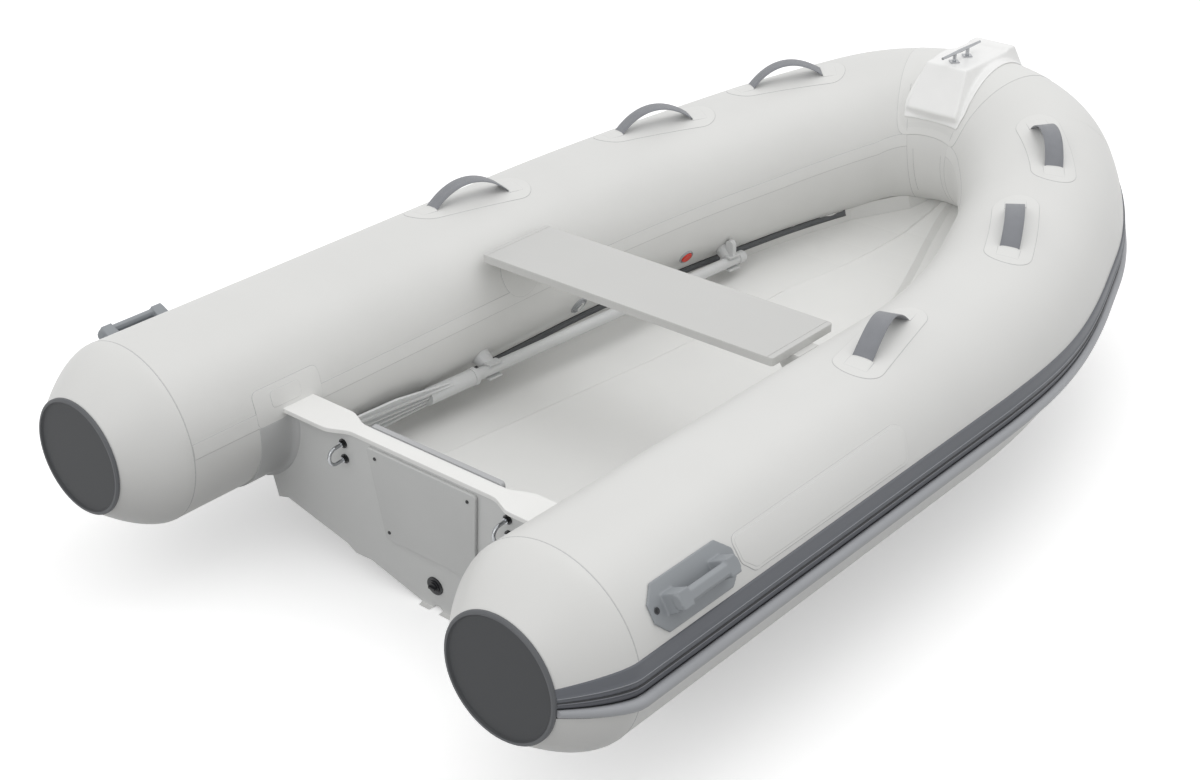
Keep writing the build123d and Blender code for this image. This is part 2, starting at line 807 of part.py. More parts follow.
# ------------------------------------------------------------------ bow step and cleat
nose_z = axis_z + bow_rise
plateau = tube_radius + step_top
plan_depth = step_front - step_lip_back
with BuildPart() as step_flange:
    with BuildSketch(Plane(origin=bow_axis @ 0, z_dir=bow_axis % 0)):
        Circle(tube_radius + soft_gap + step_flange_thickness)
    sweep(path=bow_axis)
    with BuildSketch(Plane.XY.offset(nose_z + step_flange_foot)):
        with Locations((0, bow_y + plan_depth / 2)):
            RectangleRounded(
                2 * (step_half_width + step_flare + step_flange_margin),
                step_front + step_lip_back + 2 * step_flange_margin,
                step_flange_corner,
            )
    extrude(amount=2 * tube_radius, mode=Mode.INTERSECT)
with BuildPart() as bow_step:
    with BuildSketch(Plane.XY.offset(nose_z + plateau + roll_height)) as step_plan:
        with Locations((0, bow_y + plan_depth / 2)):
            RectangleRounded(2 * step_half_width, step_front + step_lip_back + 2 * step_margin, step_corner)
    extrude(amount=-plateau - roll_height, taper=-step_side_slope)
    with BuildSketch(Plane.YZ.offset(-beam_overall / 2)):
        outline = [
            (0, 0),
            (-step_back, step_back_height),
            (-step_lip_back, step_lip_height),
            (-step_plateau_back, plateau),
            (step_plateau_front - roll_width, plateau),
            (step_plateau_front - roll_width, plateau + roll_height),
            (step_plateau_front, plateau + roll_height),
            (step_front + step_flange_margin / 2, step_front_height),
        ]
        Polygon(*[(bow_y + y, nose_z + z) for y, z in outline], align=None)
    extrude(amount=beam_overall, mode=Mode.INTERSECT)
    add(step_flange.part)
    add(tube_space.part, mode=Mode.SUBTRACT)
save(largest(bow_step.part), "bow_step")

with BuildPart() as cleat:
    cleat_y, cleat_z = bow_y - cleat_back, nose_z + plateau + soft_gap
    with BuildSketch(Plane.XY.offset(cleat_z)):
        with Locations((0, cleat_y)):
            with GridLocations(0, cleat_leg_pitch, 1, 2):
                RegularPolygon(cleat_foot, 4)
    extrude(amount=cleat_foot_height)
    with BuildSketch(Plane.XY.offset(cleat_z)):
        with Locations((0, cleat_y)):
            with GridLocations(0, cleat_leg_pitch, 1, 2):
                Circle(cleat_leg)
    extrude(amount=cleat_height)
    bar_plane = Plane(origin=(0, cleat_y, cleat_z + cleat_height), x_dir=(0, 1, 0), z_dir=(1, 0, 0))
    with BuildSketch(bar_plane):
        half = cleat_length / 2
        Polygon((-half, 0), (-half, cleat_tip), (0, cleat_bar), (half, cleat_tip), (half, 0), align=None)
    revolve(axis=Axis(bar_plane.origin, (0, 1, 0)))
save(cleat.part, "bow_cleat")

# ------------------------------------------------------------------ carry handles
handle_normal = Vector(cos(radians(handle_angle)), 0, sin(radians(handle_angle)))
handle_axis = Vector(axis_x, transom_y - handle_back, axis_z)
handle_plane = Plane(origin=handle_axis + handle_normal * tube_radius, x_dir=(0, 1, 0), z_dir=handle_normal)


def octagon(length, width, corner):
    """A rectangle with its corners cut off."""
    with BuildSketch() as shape:
        Rectangle(length, width)
        chamfer(shape.vertices(), corner)
    return shape.sketch


with BuildPart() as handle:
    # Pad, curved to the tube
    with BuildSketch(section_plane):
        Circle(tube_radius + handle_pad_thickness)
    extrude(amount=-2 * handle_length)
    with BuildSketch(handle_plane):
        add(octagon(handle_length, handle_width, handle_corner))
    extrude(amount=tube_radius / 4, both=True, mode=Mode.INTERSECT)
    # End blocks and the grip across them
    blocks = handle_plane.offset(handle_pad_thickness / 2)
    block_height = handle_pad_thickness / 2 + handle_stand_off + grip_bar_thickness
    with BuildSketch(blocks):
        with GridLocations(grip_bar_length - grip_block_length, 0, 2, 1):
            Rectangle(grip_block_length, grip_block_width)
    extrude(amount=block_height, taper=grip_block_taper)
    bar_center = handle_plane.offset(handle_pad_thickness + handle_stand_off + grip_bar_thickness / 2).origin
    bar_plane = Plane(origin=bar_center, x_dir=handle_normal, z_dir=(0, 1, 0))
    with BuildSketch(bar_plane.offset(-grip_bar_length / 2)):
        add(octagon(grip_bar_thickness, grip_bar_width, grip_bar_chamfer))
    extrude(amount=grip_bar_length)
    # Eye at the aft end
    with BuildSketch(handle_plane.offset(-tube_radius / 4)):
        with Locations((-handle_length / 2 + handle_eye_inset, 0)):
            Circle(handle_eye_radius)
    extrude(amount=tube_radius / 2, mode=Mode.SUBTRACT)
    add(tube_space.part, mode=Mode.SUBTRACT)
save_pair(handle.part, "carry_handle")

# ------------------------------------------------------------------ valves


def valve_plane(forward):
    """A plane on the inside of the starboard tube, facing the cockpit."""
    across = tube_plane(transom_y + forward)
    normal = -across.x_dir * cos(radians(valve_angle)) + across.y_dir * sin(radians(valve_angle))
    return Plane(origin=across.origin + normal * tube_radius, z_dir=normal)


def valve(forward, scale):
    """A round valve: a ring seated on the tube, with a raised cap in it."""
    seat = valve_plane(forward)
    with BuildPart() as body:
        with BuildSketch(seat.offset(-valve_ring_height)):
            Circle(valve_ring_radius * scale)
        extrude(amount=2 * valve_ring_height)
        with BuildSketch(seat):
            Circle(valve_groove_radius * scale)
            Circle(valve_cap_radius * scale, mode=Mode.SUBTRACT)
        extrude(amount=valve_ring_height, mode=Mode.SUBTRACT)
        with BuildSketch(seat):
            Circle(valve_cap_radius * scale)
        extrude(amount=valve_cap_height)
        add(tube_space.part, mode=Mode.SUBTRACT)
    return largest(body.part)


save_pair(valve(valve_forward, 1.0), "inflation_valve")
save_pair(valve(relief_forward, relief_scale), "relief_valve")
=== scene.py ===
"""Looks of a rigid-bottom inflatable boat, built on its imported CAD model.

Metres. +X is starboard, +Y is forward and +Z is up. The air tubes' skins, seams, patches,
rub band, webbing, valves and mouldings are modelled here, and the rigid CAD pieces get
their finishes. Anything that lies on a tube is placed by its distance along the tube's
axis from the starboard stern cone, and its angle round the tube from level outboard.
"""

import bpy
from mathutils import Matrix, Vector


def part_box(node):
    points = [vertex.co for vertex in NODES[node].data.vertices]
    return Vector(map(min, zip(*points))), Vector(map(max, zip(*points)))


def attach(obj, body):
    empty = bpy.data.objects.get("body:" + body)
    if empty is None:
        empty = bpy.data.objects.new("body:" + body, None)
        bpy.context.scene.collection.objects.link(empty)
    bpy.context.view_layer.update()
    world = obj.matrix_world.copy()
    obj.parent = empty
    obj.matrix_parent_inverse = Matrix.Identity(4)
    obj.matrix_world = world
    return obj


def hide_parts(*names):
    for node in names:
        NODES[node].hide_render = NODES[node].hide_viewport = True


bl_info = {
    "name": "Rigid-Bottom Inflatable Boat",
    "version": (1, 0, 0),
    "blender": (4, 5, 0),
    "location": "3D View > Sidebar > Boat",
    "description": "Builds the skins, trim, webbing and finishes of a rigid-bottom inflatable boat",
    "category": "Object",
}

from bisect import bisect_right
from contextlib import contextmanager
from math import atan2, cos, degrees, hypot, pi, radians, sin, sqrt, tan

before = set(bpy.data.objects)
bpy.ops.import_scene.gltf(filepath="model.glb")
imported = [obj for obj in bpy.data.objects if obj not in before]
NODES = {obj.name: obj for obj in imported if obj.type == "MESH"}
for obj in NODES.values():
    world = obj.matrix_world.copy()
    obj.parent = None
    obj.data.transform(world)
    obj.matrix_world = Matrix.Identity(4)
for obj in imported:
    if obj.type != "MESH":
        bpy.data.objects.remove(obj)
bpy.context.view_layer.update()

import bmesh
import bpy
from bpy.props import FloatProperty, PointerProperty, StringProperty
from mathutils import Matrix, Vector

BOAT = "boat"
SIDES = {"starboard": 1, "port": -1}
MM = 0.001
SEAT_GAP = 0.3 * MM

cone_low, cone_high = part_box("cone_starboard")
bow_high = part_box("tube_bow")[1]
TUBE_RADIUS = (cone_high[2] - cone_low[2]) / 2
AXIS_X = (cone_high[0] + cone_low[0]) / 2
AXIS_Z = (cone_high[2] + cone_low[2]) / 2
BOW_Y = bow_high[1] - TUBE_RADIUS
BOW_Z = bow_high[2] - TUBE_RADIUS


# ------------------------------------------------------------------ small helpers


def linear(code):
    """An sRGB hex colour as linear RGBA."""
    channels = [int(code[i : i + 2], 16) / 255 for i in (0, 2, 4)]
    return [c / 12.92 if c <= 0.04045 else ((c + 0.055) / 1.055) ** 2.4 for c in channels] + [1.0]


def add_node(tree, kind, settings=None, links=None):
    """Adds a node. Settings are properties or input values, and links are (input, output socket)."""
    node = tree.nodes.new(kind)
    for key, value in (settings or {}).items():
        if isinstance(key, int) or (key in node.inputs and not hasattr(node, key)):
            node.inputs[key].default_value = value
        else:
            setattr(node, key, value)
    for key, socket in (links or {}).items():
        tree.links.new(socket, node.inputs[key])
    return node


def linked(name, data):
    """A new object in the scene."""
    thing = bpy.data.objects.new(name, data)
    bpy.context.scene.collection.objects.link(thing)
    return thing


def baked(name, host):
    """The plain mesh that an object's modifiers make of it. Then they and the object go."""
    view = bpy.context.evaluated_depsgraph_get()
    mesh = bpy.data.meshes.new_from_object(host.evaluated_get(view))
    mesh.name = name
    host.modifiers.clear()
    bpy.data.objects.remove(host)
    return mesh


def show(name, mesh, material, body=BOAT, stands_for=()):
    """Links a finished mesh as a piece that rides on a body and stands for its CAD nodes."""
    piece = linked(name, mesh)
    if material:
        mesh.materials.clear()
        mesh.materials.append(material)
    mesh.shade_smooth()
    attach(piece, body)
    if stands_for:
        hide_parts(*stands_for)
    return piece


def mesh_from(name, points, faces, layers=None):
    """A mesh with optional float attributes on its points."""
    mesh = bpy.data.meshes.new(name)
    mesh.from_pydata([tuple(p) for p in points], [], faces)
    for layer, values in (layers or {}).items():
        attribute = mesh.attributes.new(layer, "FLOAT", "POINT")
        attribute.data.foreach_set("value", values)
    mesh.validate()
    return mesh


@contextmanager
def editing(mesh):
    """Opens a mesh to be edited, and writes it back."""
    work = bmesh.new()
    work.from_mesh(mesh)
    yield work
    work.to_mesh(mesh)
    work.free()


def grid_faces(rows, columns, closed=False):
    """Four-sided faces between rows of points, each row closed into a ring or left open."""
    faces = []
    for i in range(rows - 1):
        for j in range(columns if closed else columns - 1):
            a, b, k = i * columns, (i + 1) * columns, (j + 1) % columns
            faces.append((a + j, a + k, b + k, b + j))
    return faces


def face_outwards(mesh):
    """Turns a closed mesh's faces to point out of it."""
    with editing(mesh) as work:
        bmesh.ops.recalc_face_normals(work, faces=work.faces)


def face_away(mesh, index, origin):
    """Turns a mesh's faces round if the one at this index points towards the origin."""
    face = mesh.polygons[index]
    if face.normal.dot(face.center - origin) < 0:
        mesh.flip_normals()


def in_mm(pairs, scale=1.0):
    """Pairs of millimetres in metres, with the first of each pair scaled."""
    return [(a * scale * MM, b * MM) for a, b in pairs]


def mirrored(mesh, name):
    """The same mesh on the port side, with its faces turned to point outwards."""
    copy = mesh.copy()
    copy.name = name
    copy.transform(Matrix.Scale(-1, 4, (1, 0, 0)))
    copy.flip_normals()
    return copy


def on_side(side, name, mesh, material, stands_for=""):
    """A starboard piece or its port twin, standing for the CAD node of that name on its side."""
    data = mesh if SIDES[side] > 0 else mirrored(mesh, f"{name}_port")
    nodes = (f"{stands_for}_{side}",) if stands_for else ()
    show(f"{name}_{side}", data, material, stands_for=nodes)


def on_both_sides(*piece, **node):
    """A starboard piece and its port twin."""
    for side in SIDES:
        on_side(side, *piece, **node)


def joined(name, meshes):
    """Several meshes as one, with each one's materials kept."""
    whole = bmesh.new()
    materials = []
    for mesh in meshes:
        start = len(whole.faces)
        whole.from_mesh(mesh)
        whole.faces.ensure_lookup_table()
        slots = [materials.index(m) if m in materials else len(materials) for m in mesh.materials]
        materials += [m for m in mesh.materials if m not in materials]
        for face in whole.faces[start:]:
            face.material_index = slots[face.material_index] if slots else 0
    result = bpy.data.meshes.new(name)
    whole.to_mesh(result)
    whole.free()
    for material in materials:
        result.materials.append(material)
    return result


# ------------------------------------------------------------------ the air tubes' axis


class TubeAxis:
    """Straight runs joined by arcs, from the starboard stern round the bow to the port stern."""

    def __init__(self, corners, reaches):
        corners = [Vector(c) for c in corners]
        self.runs = []
        self.starts = [0.0]
        at = corners[0]
        for before, corner, after, reach in zip(corners, corners[1:], corners[2:], reaches):
            inward = (corner - before).normalized()
            outward = (after - corner).normalized()
            turn = inward.angle(outward)
            radius = reach / tan(turn / 2)
            to_centre = (outward - inward * cos(turn)).normalized()
            begin = corner - inward * reach
            self._add((begin - at).length, at, inward, None, 0.0)
            self._add(radius * turn, begin, inward, to_centre, radius)
            at = corner + outward * reach
        self._add((corners[-1] - at).length, at, (corners[-1] - at).normalized(), None, 0.0)
        self.length = self.starts[-1]

    def _add(self, length, start, along, to_centre, radius):
        self.runs.append((start, along, to_centre, radius))
        self.starts.append(self.starts[-1] + length)

    def at(self, distance):
        """The axis point and direction at this distance from the start."""
        i = min(max(bisect_right(self.starts, distance) - 1, 0), len(self.runs) - 1)
        start, along, to_centre, radius = self.runs[i]
        gone = distance - self.starts[i]
        if to_centre is None:
            return start + along * gone, along
        angle = gone / radius
        point = start + to_centre * radius * (1 - cos(angle)) + along * radius * sin(angle)
        return point, along * cos(angle) + to_centre * sin(angle)

    def frame(self, distance):
        """The axis point, its direction, and the level outboard and upward directions."""
        point, along = self.at(distance)
        out = Vector((along.y, -along.x, 0)).normalized()
        return point, along, out, out.cross(along)

    def on_tube(self, distance, angle, lift=0.0):
        """A point on the tube's skin, at an angle in degrees up from level outboard."""
        point, along, out, up = self.frame(distance)
        normal = out * cos(radians(angle)) + up * sin(radians(angle))
        return point + normal * (TUBE_RADIUS + lift)


def build_axis():
    sizes = bpy.context.scene.boat_sizes
    starboard = [
        (AXIS_X, cone_high[1], AXIS_Z),
        (AXIS_X, BOW_Y - sizes.shoulder_back, AXIS_Z),
        (AXIS_X - sizes.cheek_inset, BOW_Y - sizes.cheek_back, AXIS_Z + sizes.cheek_rise),
        (sizes.nose_half_width, BOW_Y, BOW_Z),
    ]
    port = [(-x, y, z) for x, y, z in reversed(starboard)]
    points = [Vector(p) for p in starboard]
    halves = [(a - b).length / 2 for a, b in zip(points[1:], points[2:])]
    reaches = halves + [min(sizes.nose_half_width, halves[-1]) - sizes.nose_flat]
    return TubeAxis(starboard + port, reaches + reaches[::-1])


def along_to(y):
    """Distance along the starboard tube to the place with this y."""
    low, high = 0.0, axis.length / 2
    for _ in range(40):
        middle = (low + high) / 2
        if axis.at(middle)[0].y < y:
            low = middle
        else:
            high = middle
    return low


# ------------------------------------------------------------------ Geometry Nodes

SWEEP = "Sweep a profile along a path"
STAND = "Stand a shape on each point"


def new_tree(name, inputs):
    """A Geometry Nodes tree with these named inputs, and its input node."""
    tree = bpy.data.node_groups.new(name, "GeometryNodeTree")
    for socket, kind in inputs.items():
        tree.interface.new_socket(socket, in_out="INPUT", socket_type="NodeSocket" + kind)
    tree.interface.new_socket("Geometry", in_out="OUTPUT", socket_type="NodeSocketGeometry")
    return tree, add_node(tree, "NodeGroupInput")


def end_tree(tree, given, geometry):
    """Makes the geometry real, gives it the material and sends it out."""
    real = add_node(tree, "GeometryNodeRealizeInstances", None, {"Geometry": geometry})
    links = {"Geometry": real.outputs["Geometry"], "Material": given.outputs["Material"]}
    painted = add_node(tree, "GeometryNodeSetMaterial", None, links)
    add_node(tree, "NodeGroupOutput", None, {"Geometry": painted.outputs["Geometry"]})


def sweep_tree():
    """Sweeps a profile along a path with its normal kept level, and stores how far along and
    round each place is, in metres, as the UV map."""
    inputs = {"Path": "Object", "Profile": "Object", "Material": "Material"}
    tree, given = new_tree(SWEEP, inputs | {"Merge Distance": "Float", "Close Ends": "Bool"})
    path = add_node(tree, "GeometryNodeObjectInfo", None, {"Object": given.outputs["Path"]})
    profile = add_node(tree, "GeometryNodeObjectInfo", None, {"Object": given.outputs["Profile"]})
    guide = {"Curve": path.outputs["Geometry"]}
    level = add_node(tree, "GeometryNodeSetCurveNormal", {"mode": "Z_UP"}, guide)
    measure = add_node(tree, "GeometryNodeSplineParameter")
    kept = []
    for curve in (level.outputs["Curve"], profile.outputs["Geometry"]):
        store = add_node(tree, "GeometryNodeCaptureAttribute", None, {"Geometry": curve})
        store.capture_items.new("FLOAT", "Length")
        tree.links.new(measure.outputs["Length"], store.inputs["Length"])
        kept.append(store)
    size = add_node(tree, "GeometryNodeInputRadius")
    links = {
        "Curve": kept[0].outputs["Geometry"],
        "Profile Curve": kept[1].outputs["Geometry"],
        "Scale": size.outputs["Radius"],
        "Fill Caps": given.outputs["Close Ends"],
    }
    body = add_node(tree, "GeometryNodeCurveToMesh", None, links)
    along, round_it = (store.outputs["Length"] for store in kept)
    place = add_node(tree, "ShaderNodeCombineXYZ", None, {"X": along, "Y": round_it})
    stored = {"data_type": "FLOAT2", "domain": "CORNER", "Name": "UVMap"}
    links = {"Geometry": body.outputs["Mesh"], "Value": place.outputs["Vector"]}
    mapped = add_node(tree, "GeometryNodeStoreNamedAttribute", stored, links)
    links = {"Geometry": mapped.outputs["Geometry"], "Distance": given.outputs["Merge Distance"]}
    closed = add_node(tree, "GeometryNodeMergeByDistance", None, links)
    links = {"Geometry": closed.outputs["Geometry"]}
    smooth = add_node(tree, "GeometryNodeSetShadeSmooth", None, links)
    end_tree(tree, given, smooth.outputs["Geometry"])


def copies_tree():
    """Stands a copy of one shape on each point of a mesh, turned by the point's rotation."""
    tree, given = new_tree(STAND, {"Points": "Object", "Shape": "Object", "Material": "Material"})
    points = add_node(tree, "GeometryNodeObjectInfo", None, {"Object": given.outputs["Points"]})
    one = {"Object": given.outputs["Shape"]}
    shape = add_node(tree, "GeometryNodeObjectInfo", {"As Instance": True}, one)
    stored = {"data_type": "FLOAT_VECTOR", "Name": "turn"}
    turn = add_node(tree, "GeometryNodeInputNamedAttribute", stored)
    turned = add_node(tree, "FunctionNodeEulerToRotation", None, {"Euler": turn.outputs["Attribute"]})
    links = {
        "Points": points.outputs["Geometry"],
        "Instance": shape.outputs["Geometry"],
        "Rotation": turned.outputs["Rotation"],
    }
    placed = add_node(tree, "GeometryNodeInstanceOnPoints", None, links)
    end_tree(tree, given, placed.outputs["Instances"])


def grown(name, tree, **inputs):
    """The plain mesh that a Geometry Nodes tree makes from these inputs."""
    host = linked(name, bpy.data.meshes.new(name))
    modifier = host.modifiers.new("Nodes", "NODES")
    modifier.node_group = tree
    for item in tree.interface.items_tree:
        if item.in_out == "INPUT" and item.name in inputs:
            modifier[item.identifier] = inputs[item.name]
    return baked(name, host)


def drawn(name, points, closed=False, tilts=None, scales=None):
    """A curve through these points, for a path or a profile."""
    data = bpy.data.curves.new(name, "CURVE")
    data.dimensions = "3D"
    spline = data.splines.new("POLY")
    spline.points.add(len(points) - 1)
    for i, point in enumerate(points):
        spline.points[i].co = (*point, 1)
        spline.points[i].tilt = tilts[i] if tilts else 0.0
        spline.points[i].radius = scales[i] if scales else 1.0
    spline.use_cyclic_u = closed
    return linked(name, data)


def swept(name, path, profile, material=None, tilts=None, scales=None, solid=False):
    """A mesh swept along a path. The profile's points are (outboard, up) from the path."""
    guide = drawn(name + " path", path, tilts=tilts, scales=scales)
    outline = drawn(name + " profile", [(x, -z, 0) for x, z in profile], closed=solid)
    inputs = {"Merge Distance": 0.02 * MM, "Close Ends": solid}
    tree = bpy.data.node_groups[SWEEP]
    mesh = grown(name, tree, Path=guide, Profile=outline, Material=material, **inputs)
    for thing in (guide, outline):
        bpy.data.objects.remove(thing)
    return mesh


def copies(name, places, shape, material):
    """Copies of a small mesh that stands along +Z, each at a place with a direction to point in."""
    points = bpy.data.meshes.new(name + " points")
    points.from_pydata([tuple(p) for p, _, _ in places], [], [])
    turns = points.attributes.new("turn", "FLOAT_VECTOR", "POINT")
    for i, (_, direction, spin) in enumerate(places):
        turn = Vector(direction).to_track_quat("Z", "Y").to_matrix() @ Matrix.Rotation(spin, 3, "Z")
        turns.data[i].vector = turn.to_euler()
    parts = ((" points", points), (" shape", shape))
    hosts = [linked(name + part, data) for part, data in parts]
    tree = bpy.data.node_groups[STAND]
    mesh = grown(name, tree, Points=hosts[0], Shape=hosts[1], Material=material)
    for host in hosts:
        bpy.data.objects.remove(host)
    return mesh


# ------------------------------------------------------------------ mesh makers


def turned(name, profile, origin, direction, segments=48, closed=True):
    """A lathed shape. The profile's points are (radius, height) along the direction."""
    z = Vector(direction).normalized()
    x = z.orthogonal().normalized()
    y = z.cross(x)
    points = []
    for radius, height in profile:
        for i in range(segments):
            a = 2 * pi * i / segments
            points.append(Vector(origin) + z * height + (x * cos(a) + y * sin(a)) * radius)
    mesh = mesh_from(name, points, grid_faces(len(profile), segments, closed=True))
    with editing(mesh) as work:
        bmesh.ops.remove_doubles(work, verts=work.verts, dist=1e-6)
        if closed:
            bmesh.ops.holes_fill(work, edges=work.edges, sides=segments)
        bmesh.ops.recalc_face_normals(work, faces=work.faces)
    return mesh


def patch(name, outline, centre, thickness):
    """A glued patch that follows the starboard tube.

    The outline's points are (along, round) in metres from the centre, which is (distance along
    the tube, angle round it). The "edge" attribute is the distance in from the patch's edge.
    """
    distance, angle = centre
    border = [step * MM for step in (0.0, 0.4, 1.2, 2.4, 5.0)]
    inner_rings = 6
    count = len(outline)
    depths = []
    for i in range(count):
        (ax, ay), (bx, by) = outline[i - 1], outline[(i + 1) % count]
        x, y = outline[i]
        depths.append(abs(x * (by - ay) - y * (bx - ax)) / max(hypot(bx - ax, by - ay), 1e-9))
    rings = len(border) + inner_rings
    points, edge = [], []
    for ring in range(rings):
        for (x, y), depth in zip(outline, depths):
            if ring < len(border):
                share = 1 - border[ring] / depth
            else:
                share = (1 - border[-1] / depth) * (1 - (ring - len(border) + 1) / (inner_rings + 0.5))
            from_edge = (1 - share) * depth
            rise = min(from_edge / (1.2 * MM), 1.0) * thickness - (0.1 * MM if ring == 0 else 0.0)
            around = angle + degrees(y * share / TUBE_RADIUS)
            points.append(axis.on_tube(distance + x * share, around, rise))
            edge.append(from_edge)
    faces = grid_faces(rings, count, closed=True) + [tuple(range(len(points) - count, len(points)))]
    mesh = mesh_from(name, points, faces, {"edge": edge})
    face_away(mesh, -1, axis.at(distance)[0])
    return mesh


def ribbon(name, path, sideways, profile, material):
    """A closed profile of (sideways, up) points swept along a path, with the sideways direction
    given at each point, and the lengths along and round as the UV map in metres."""
    points, faces, lengths = [], [], [0.0]
    for before, after in zip(path, path[1:]):
        lengths.append(lengths[-1] + (after - before).length)
    rounds = profile_lengths(profile + profile[:1])
    count = len(profile)
    for i, (centre, side) in enumerate(zip(path, sideways)):
        run = path[min(i + 1, len(path) - 1)] - path[max(i - 1, 0)]
        up = run.cross(side).normalized()
        if up.z < 0:
            up = -up
        points += [centre + side * x + up * z for x, z in profile]
    places = []
    for i in range(len(path) - 1):
        for j in range(count):
            k = (j + 1) % count
            faces.append((i * count + j, i * count + k, (i + 1) * count + k, (i + 1) * count + j))
            places += [(lengths[i], rounds[j]), (lengths[i], rounds[j + 1])]
            places += [(lengths[i + 1], rounds[j + 1]), (lengths[i + 1], rounds[j])]
    for end in (0, len(points) - count):
        faces.append(tuple(range(end, end + count)))
        places += [(0.0, rounds[j]) for j in range(count)]
    mesh = mesh_from(name, points, faces)
    uv = mesh.uv_layers.new(name="UVMap")
    uv.data.foreach_set("uv", [value for place in places for value in place])
    face_outwards(mesh)
    mesh.materials.append(material)
    return mesh


def rounded_outline(corners, radius, steps=8, between=8):
    """A polygon with rounded corners, and points spread along its straight sides."""
    arcs = []
    count = len(corners)
    for i in range(count):
        before, corner, after = (Vector(corners[(i + k) % count]) for k in (-1, 0, 1))
        inward, outward = (before - corner).normalized(), (after - corner).normalized()
        reach = radius / tan(inward.angle(outward) / 2)
        reach = min(reach, (before - corner).length * 0.48, (after - corner).length * 0.48)
        start, end = corner + inward * reach, corner + outward * reach
        arc = []
        for k in range(steps + 1):
            t = k / steps
            arc.append((start * (1 - t) + corner * t) * (1 - t) + (corner * (1 - t) + end * t) * t)
        arcs.append(arc)
    outline = []
    for arc, following in zip(arcs, arcs[1:] + arcs[:1]):
        outline += [tuple(p) for p in arc]
        outline += [tuple(arc[-1].lerp(following[0], k / between)) for k in range(1, between)]
    return outline


def stadium(length, width, steps=20):
    """A long outline with half-round ends."""
    straight = (length - width) / 2
    outline = []
    for end in (1, -1):
        for k in range(steps + 1):
            a = -pi / 2 + pi * k / steps
            outline.append((end * (straight + cos(a) * width / 2), end * sin(a) * width / 2))
        for k in range(1, 9):
            outline.append((end * straight * (1 - 2 * k / 9), end * width / 2))
    return outline


def softened(name, node, voxel, passes):
    """A moulded copy of a rigid CAD piece, with all its edges eased over."""
    mesh = NODES[node].data.copy()
    with editing(mesh) as work:
        bmesh.ops.remove_doubles(work, verts=work.verts, dist=1e-5)
    host = linked(name, mesh)
    remesh = host.modifiers.new("Remesh", "REMESH")
    remesh.mode = "VOXEL"
    remesh.voxel_size = voxel
    smooth = host.modifiers.new("Smooth", "SMOOTH")
    smooth.factor = 0.5
    smooth.iterations = passes
    return baked(name, host)


# ------------------------------------------------------------------ finishes

# How far apart, in metres, a wave texture's ribs are at a scale of 1
RIB_SPACING = 0.314


def blank_tree(block):
    """The node tree of a material or world, emptied."""
    block.use_nodes = True
    block.node_tree.nodes.clear()
    return block.node_tree


def start_finish(name, colour, roughness, metallic=0.0, cloud_mm=150.0, variation=0.03):
    """A shader whose colour drifts a little over the piece. Returns the parts to build on."""
    material = bpy.data.materials.new(name)
    tree = blank_tree(material)
    shader = add_node(tree, "ShaderNodeBsdfPrincipled")
    add_node(tree, "ShaderNodeOutputMaterial", links={"Surface": shader.outputs[0]})
    shader.inputs["Roughness"].default_value = roughness
    shader.inputs["Metallic"].default_value = metallic
    place = add_node(tree, "ShaderNodeTexCoord")
    where = {"Vector": place.outputs["Object"]}
    lumps = {"Scale": 1 / (cloud_mm * MM), "Detail": 4.0}
    cloud = add_node(tree, "ShaderNodeTexNoise", lumps, where)
    ends = {"From Min": 0.3, "From Max": 0.7, "To Min": 1 - variation, "To Max": 1 + variation / 3}
    drift = add_node(tree, "ShaderNodeMapRange", ends, {"Value": cloud.outputs["Fac"]})
    scaled = {"operation": "SCALE", 0: linear(colour)[:3]}
    tint = add_node(tree, "ShaderNodeVectorMath", scaled, {"Scale": drift.outputs["Result"]})
    tree.links.new(tint.outputs[0], shader.inputs["Base Color"])
    return material, tree, shader, place


def recolour(tree, shader, factor, colour):
    """Mixes another colour over the base colour."""
    base = shader.inputs["Base Color"].links[0].from_socket
    mix = add_node(tree, "ShaderNodeMix", {"data_type": "RGBA"}, {"Factor": factor})
    tree.links.new(base, mix.inputs[6])
    mix.inputs[7].default_value = linear(colour)
    tree.links.new(mix.outputs[2], shader.inputs["Base Color"])


def roughen(tree, shader, height, depth_mm, strength=1.0):
    """Adds a bump on top of any that the shader has."""
    bump = add_node(
        tree, "ShaderNodeBump", {"Distance": depth_mm * MM, "Strength": strength}, {"Height": height}
    )
    if shader.inputs["Normal"].links:
        tree.links.new(shader.inputs["Normal"].links[0].from_socket, bump.inputs["Normal"])
    tree.links.new(bump.outputs[0], shader.inputs["Normal"])


def uneven(tree, shader, place, lumps, depth_mm, strength, detail=2.0):
    """Raises and sinks the surface softly, with this many lumps a metre."""
    settings = {"Scale": lumps, "Detail": detail}
    height = add_node(tree, "ShaderNodeTexNoise", settings, {"Vector": place})
    roughen(tree, shader, height.outputs["Fac"], depth_mm, strength)


def woven(tree, place, across_mm):
    """The height of a plain weave with this thread spacing."""
    ribs = {"wave_type": "BANDS", "Scale": RIB_SPACING / (across_mm * MM)}
    links = {}
    for i, direction in enumerate("XY"):
        across = ribs | {"bands_direction": direction}
        rib = add_node(tree, "ShaderNodeTexWave", across, {"Vector": place})
        links[i] = rib.outputs["Fac"]
    return add_node(tree, "ShaderNodeMath", {"operation": "MULTIPLY"}, links).outputs[0]


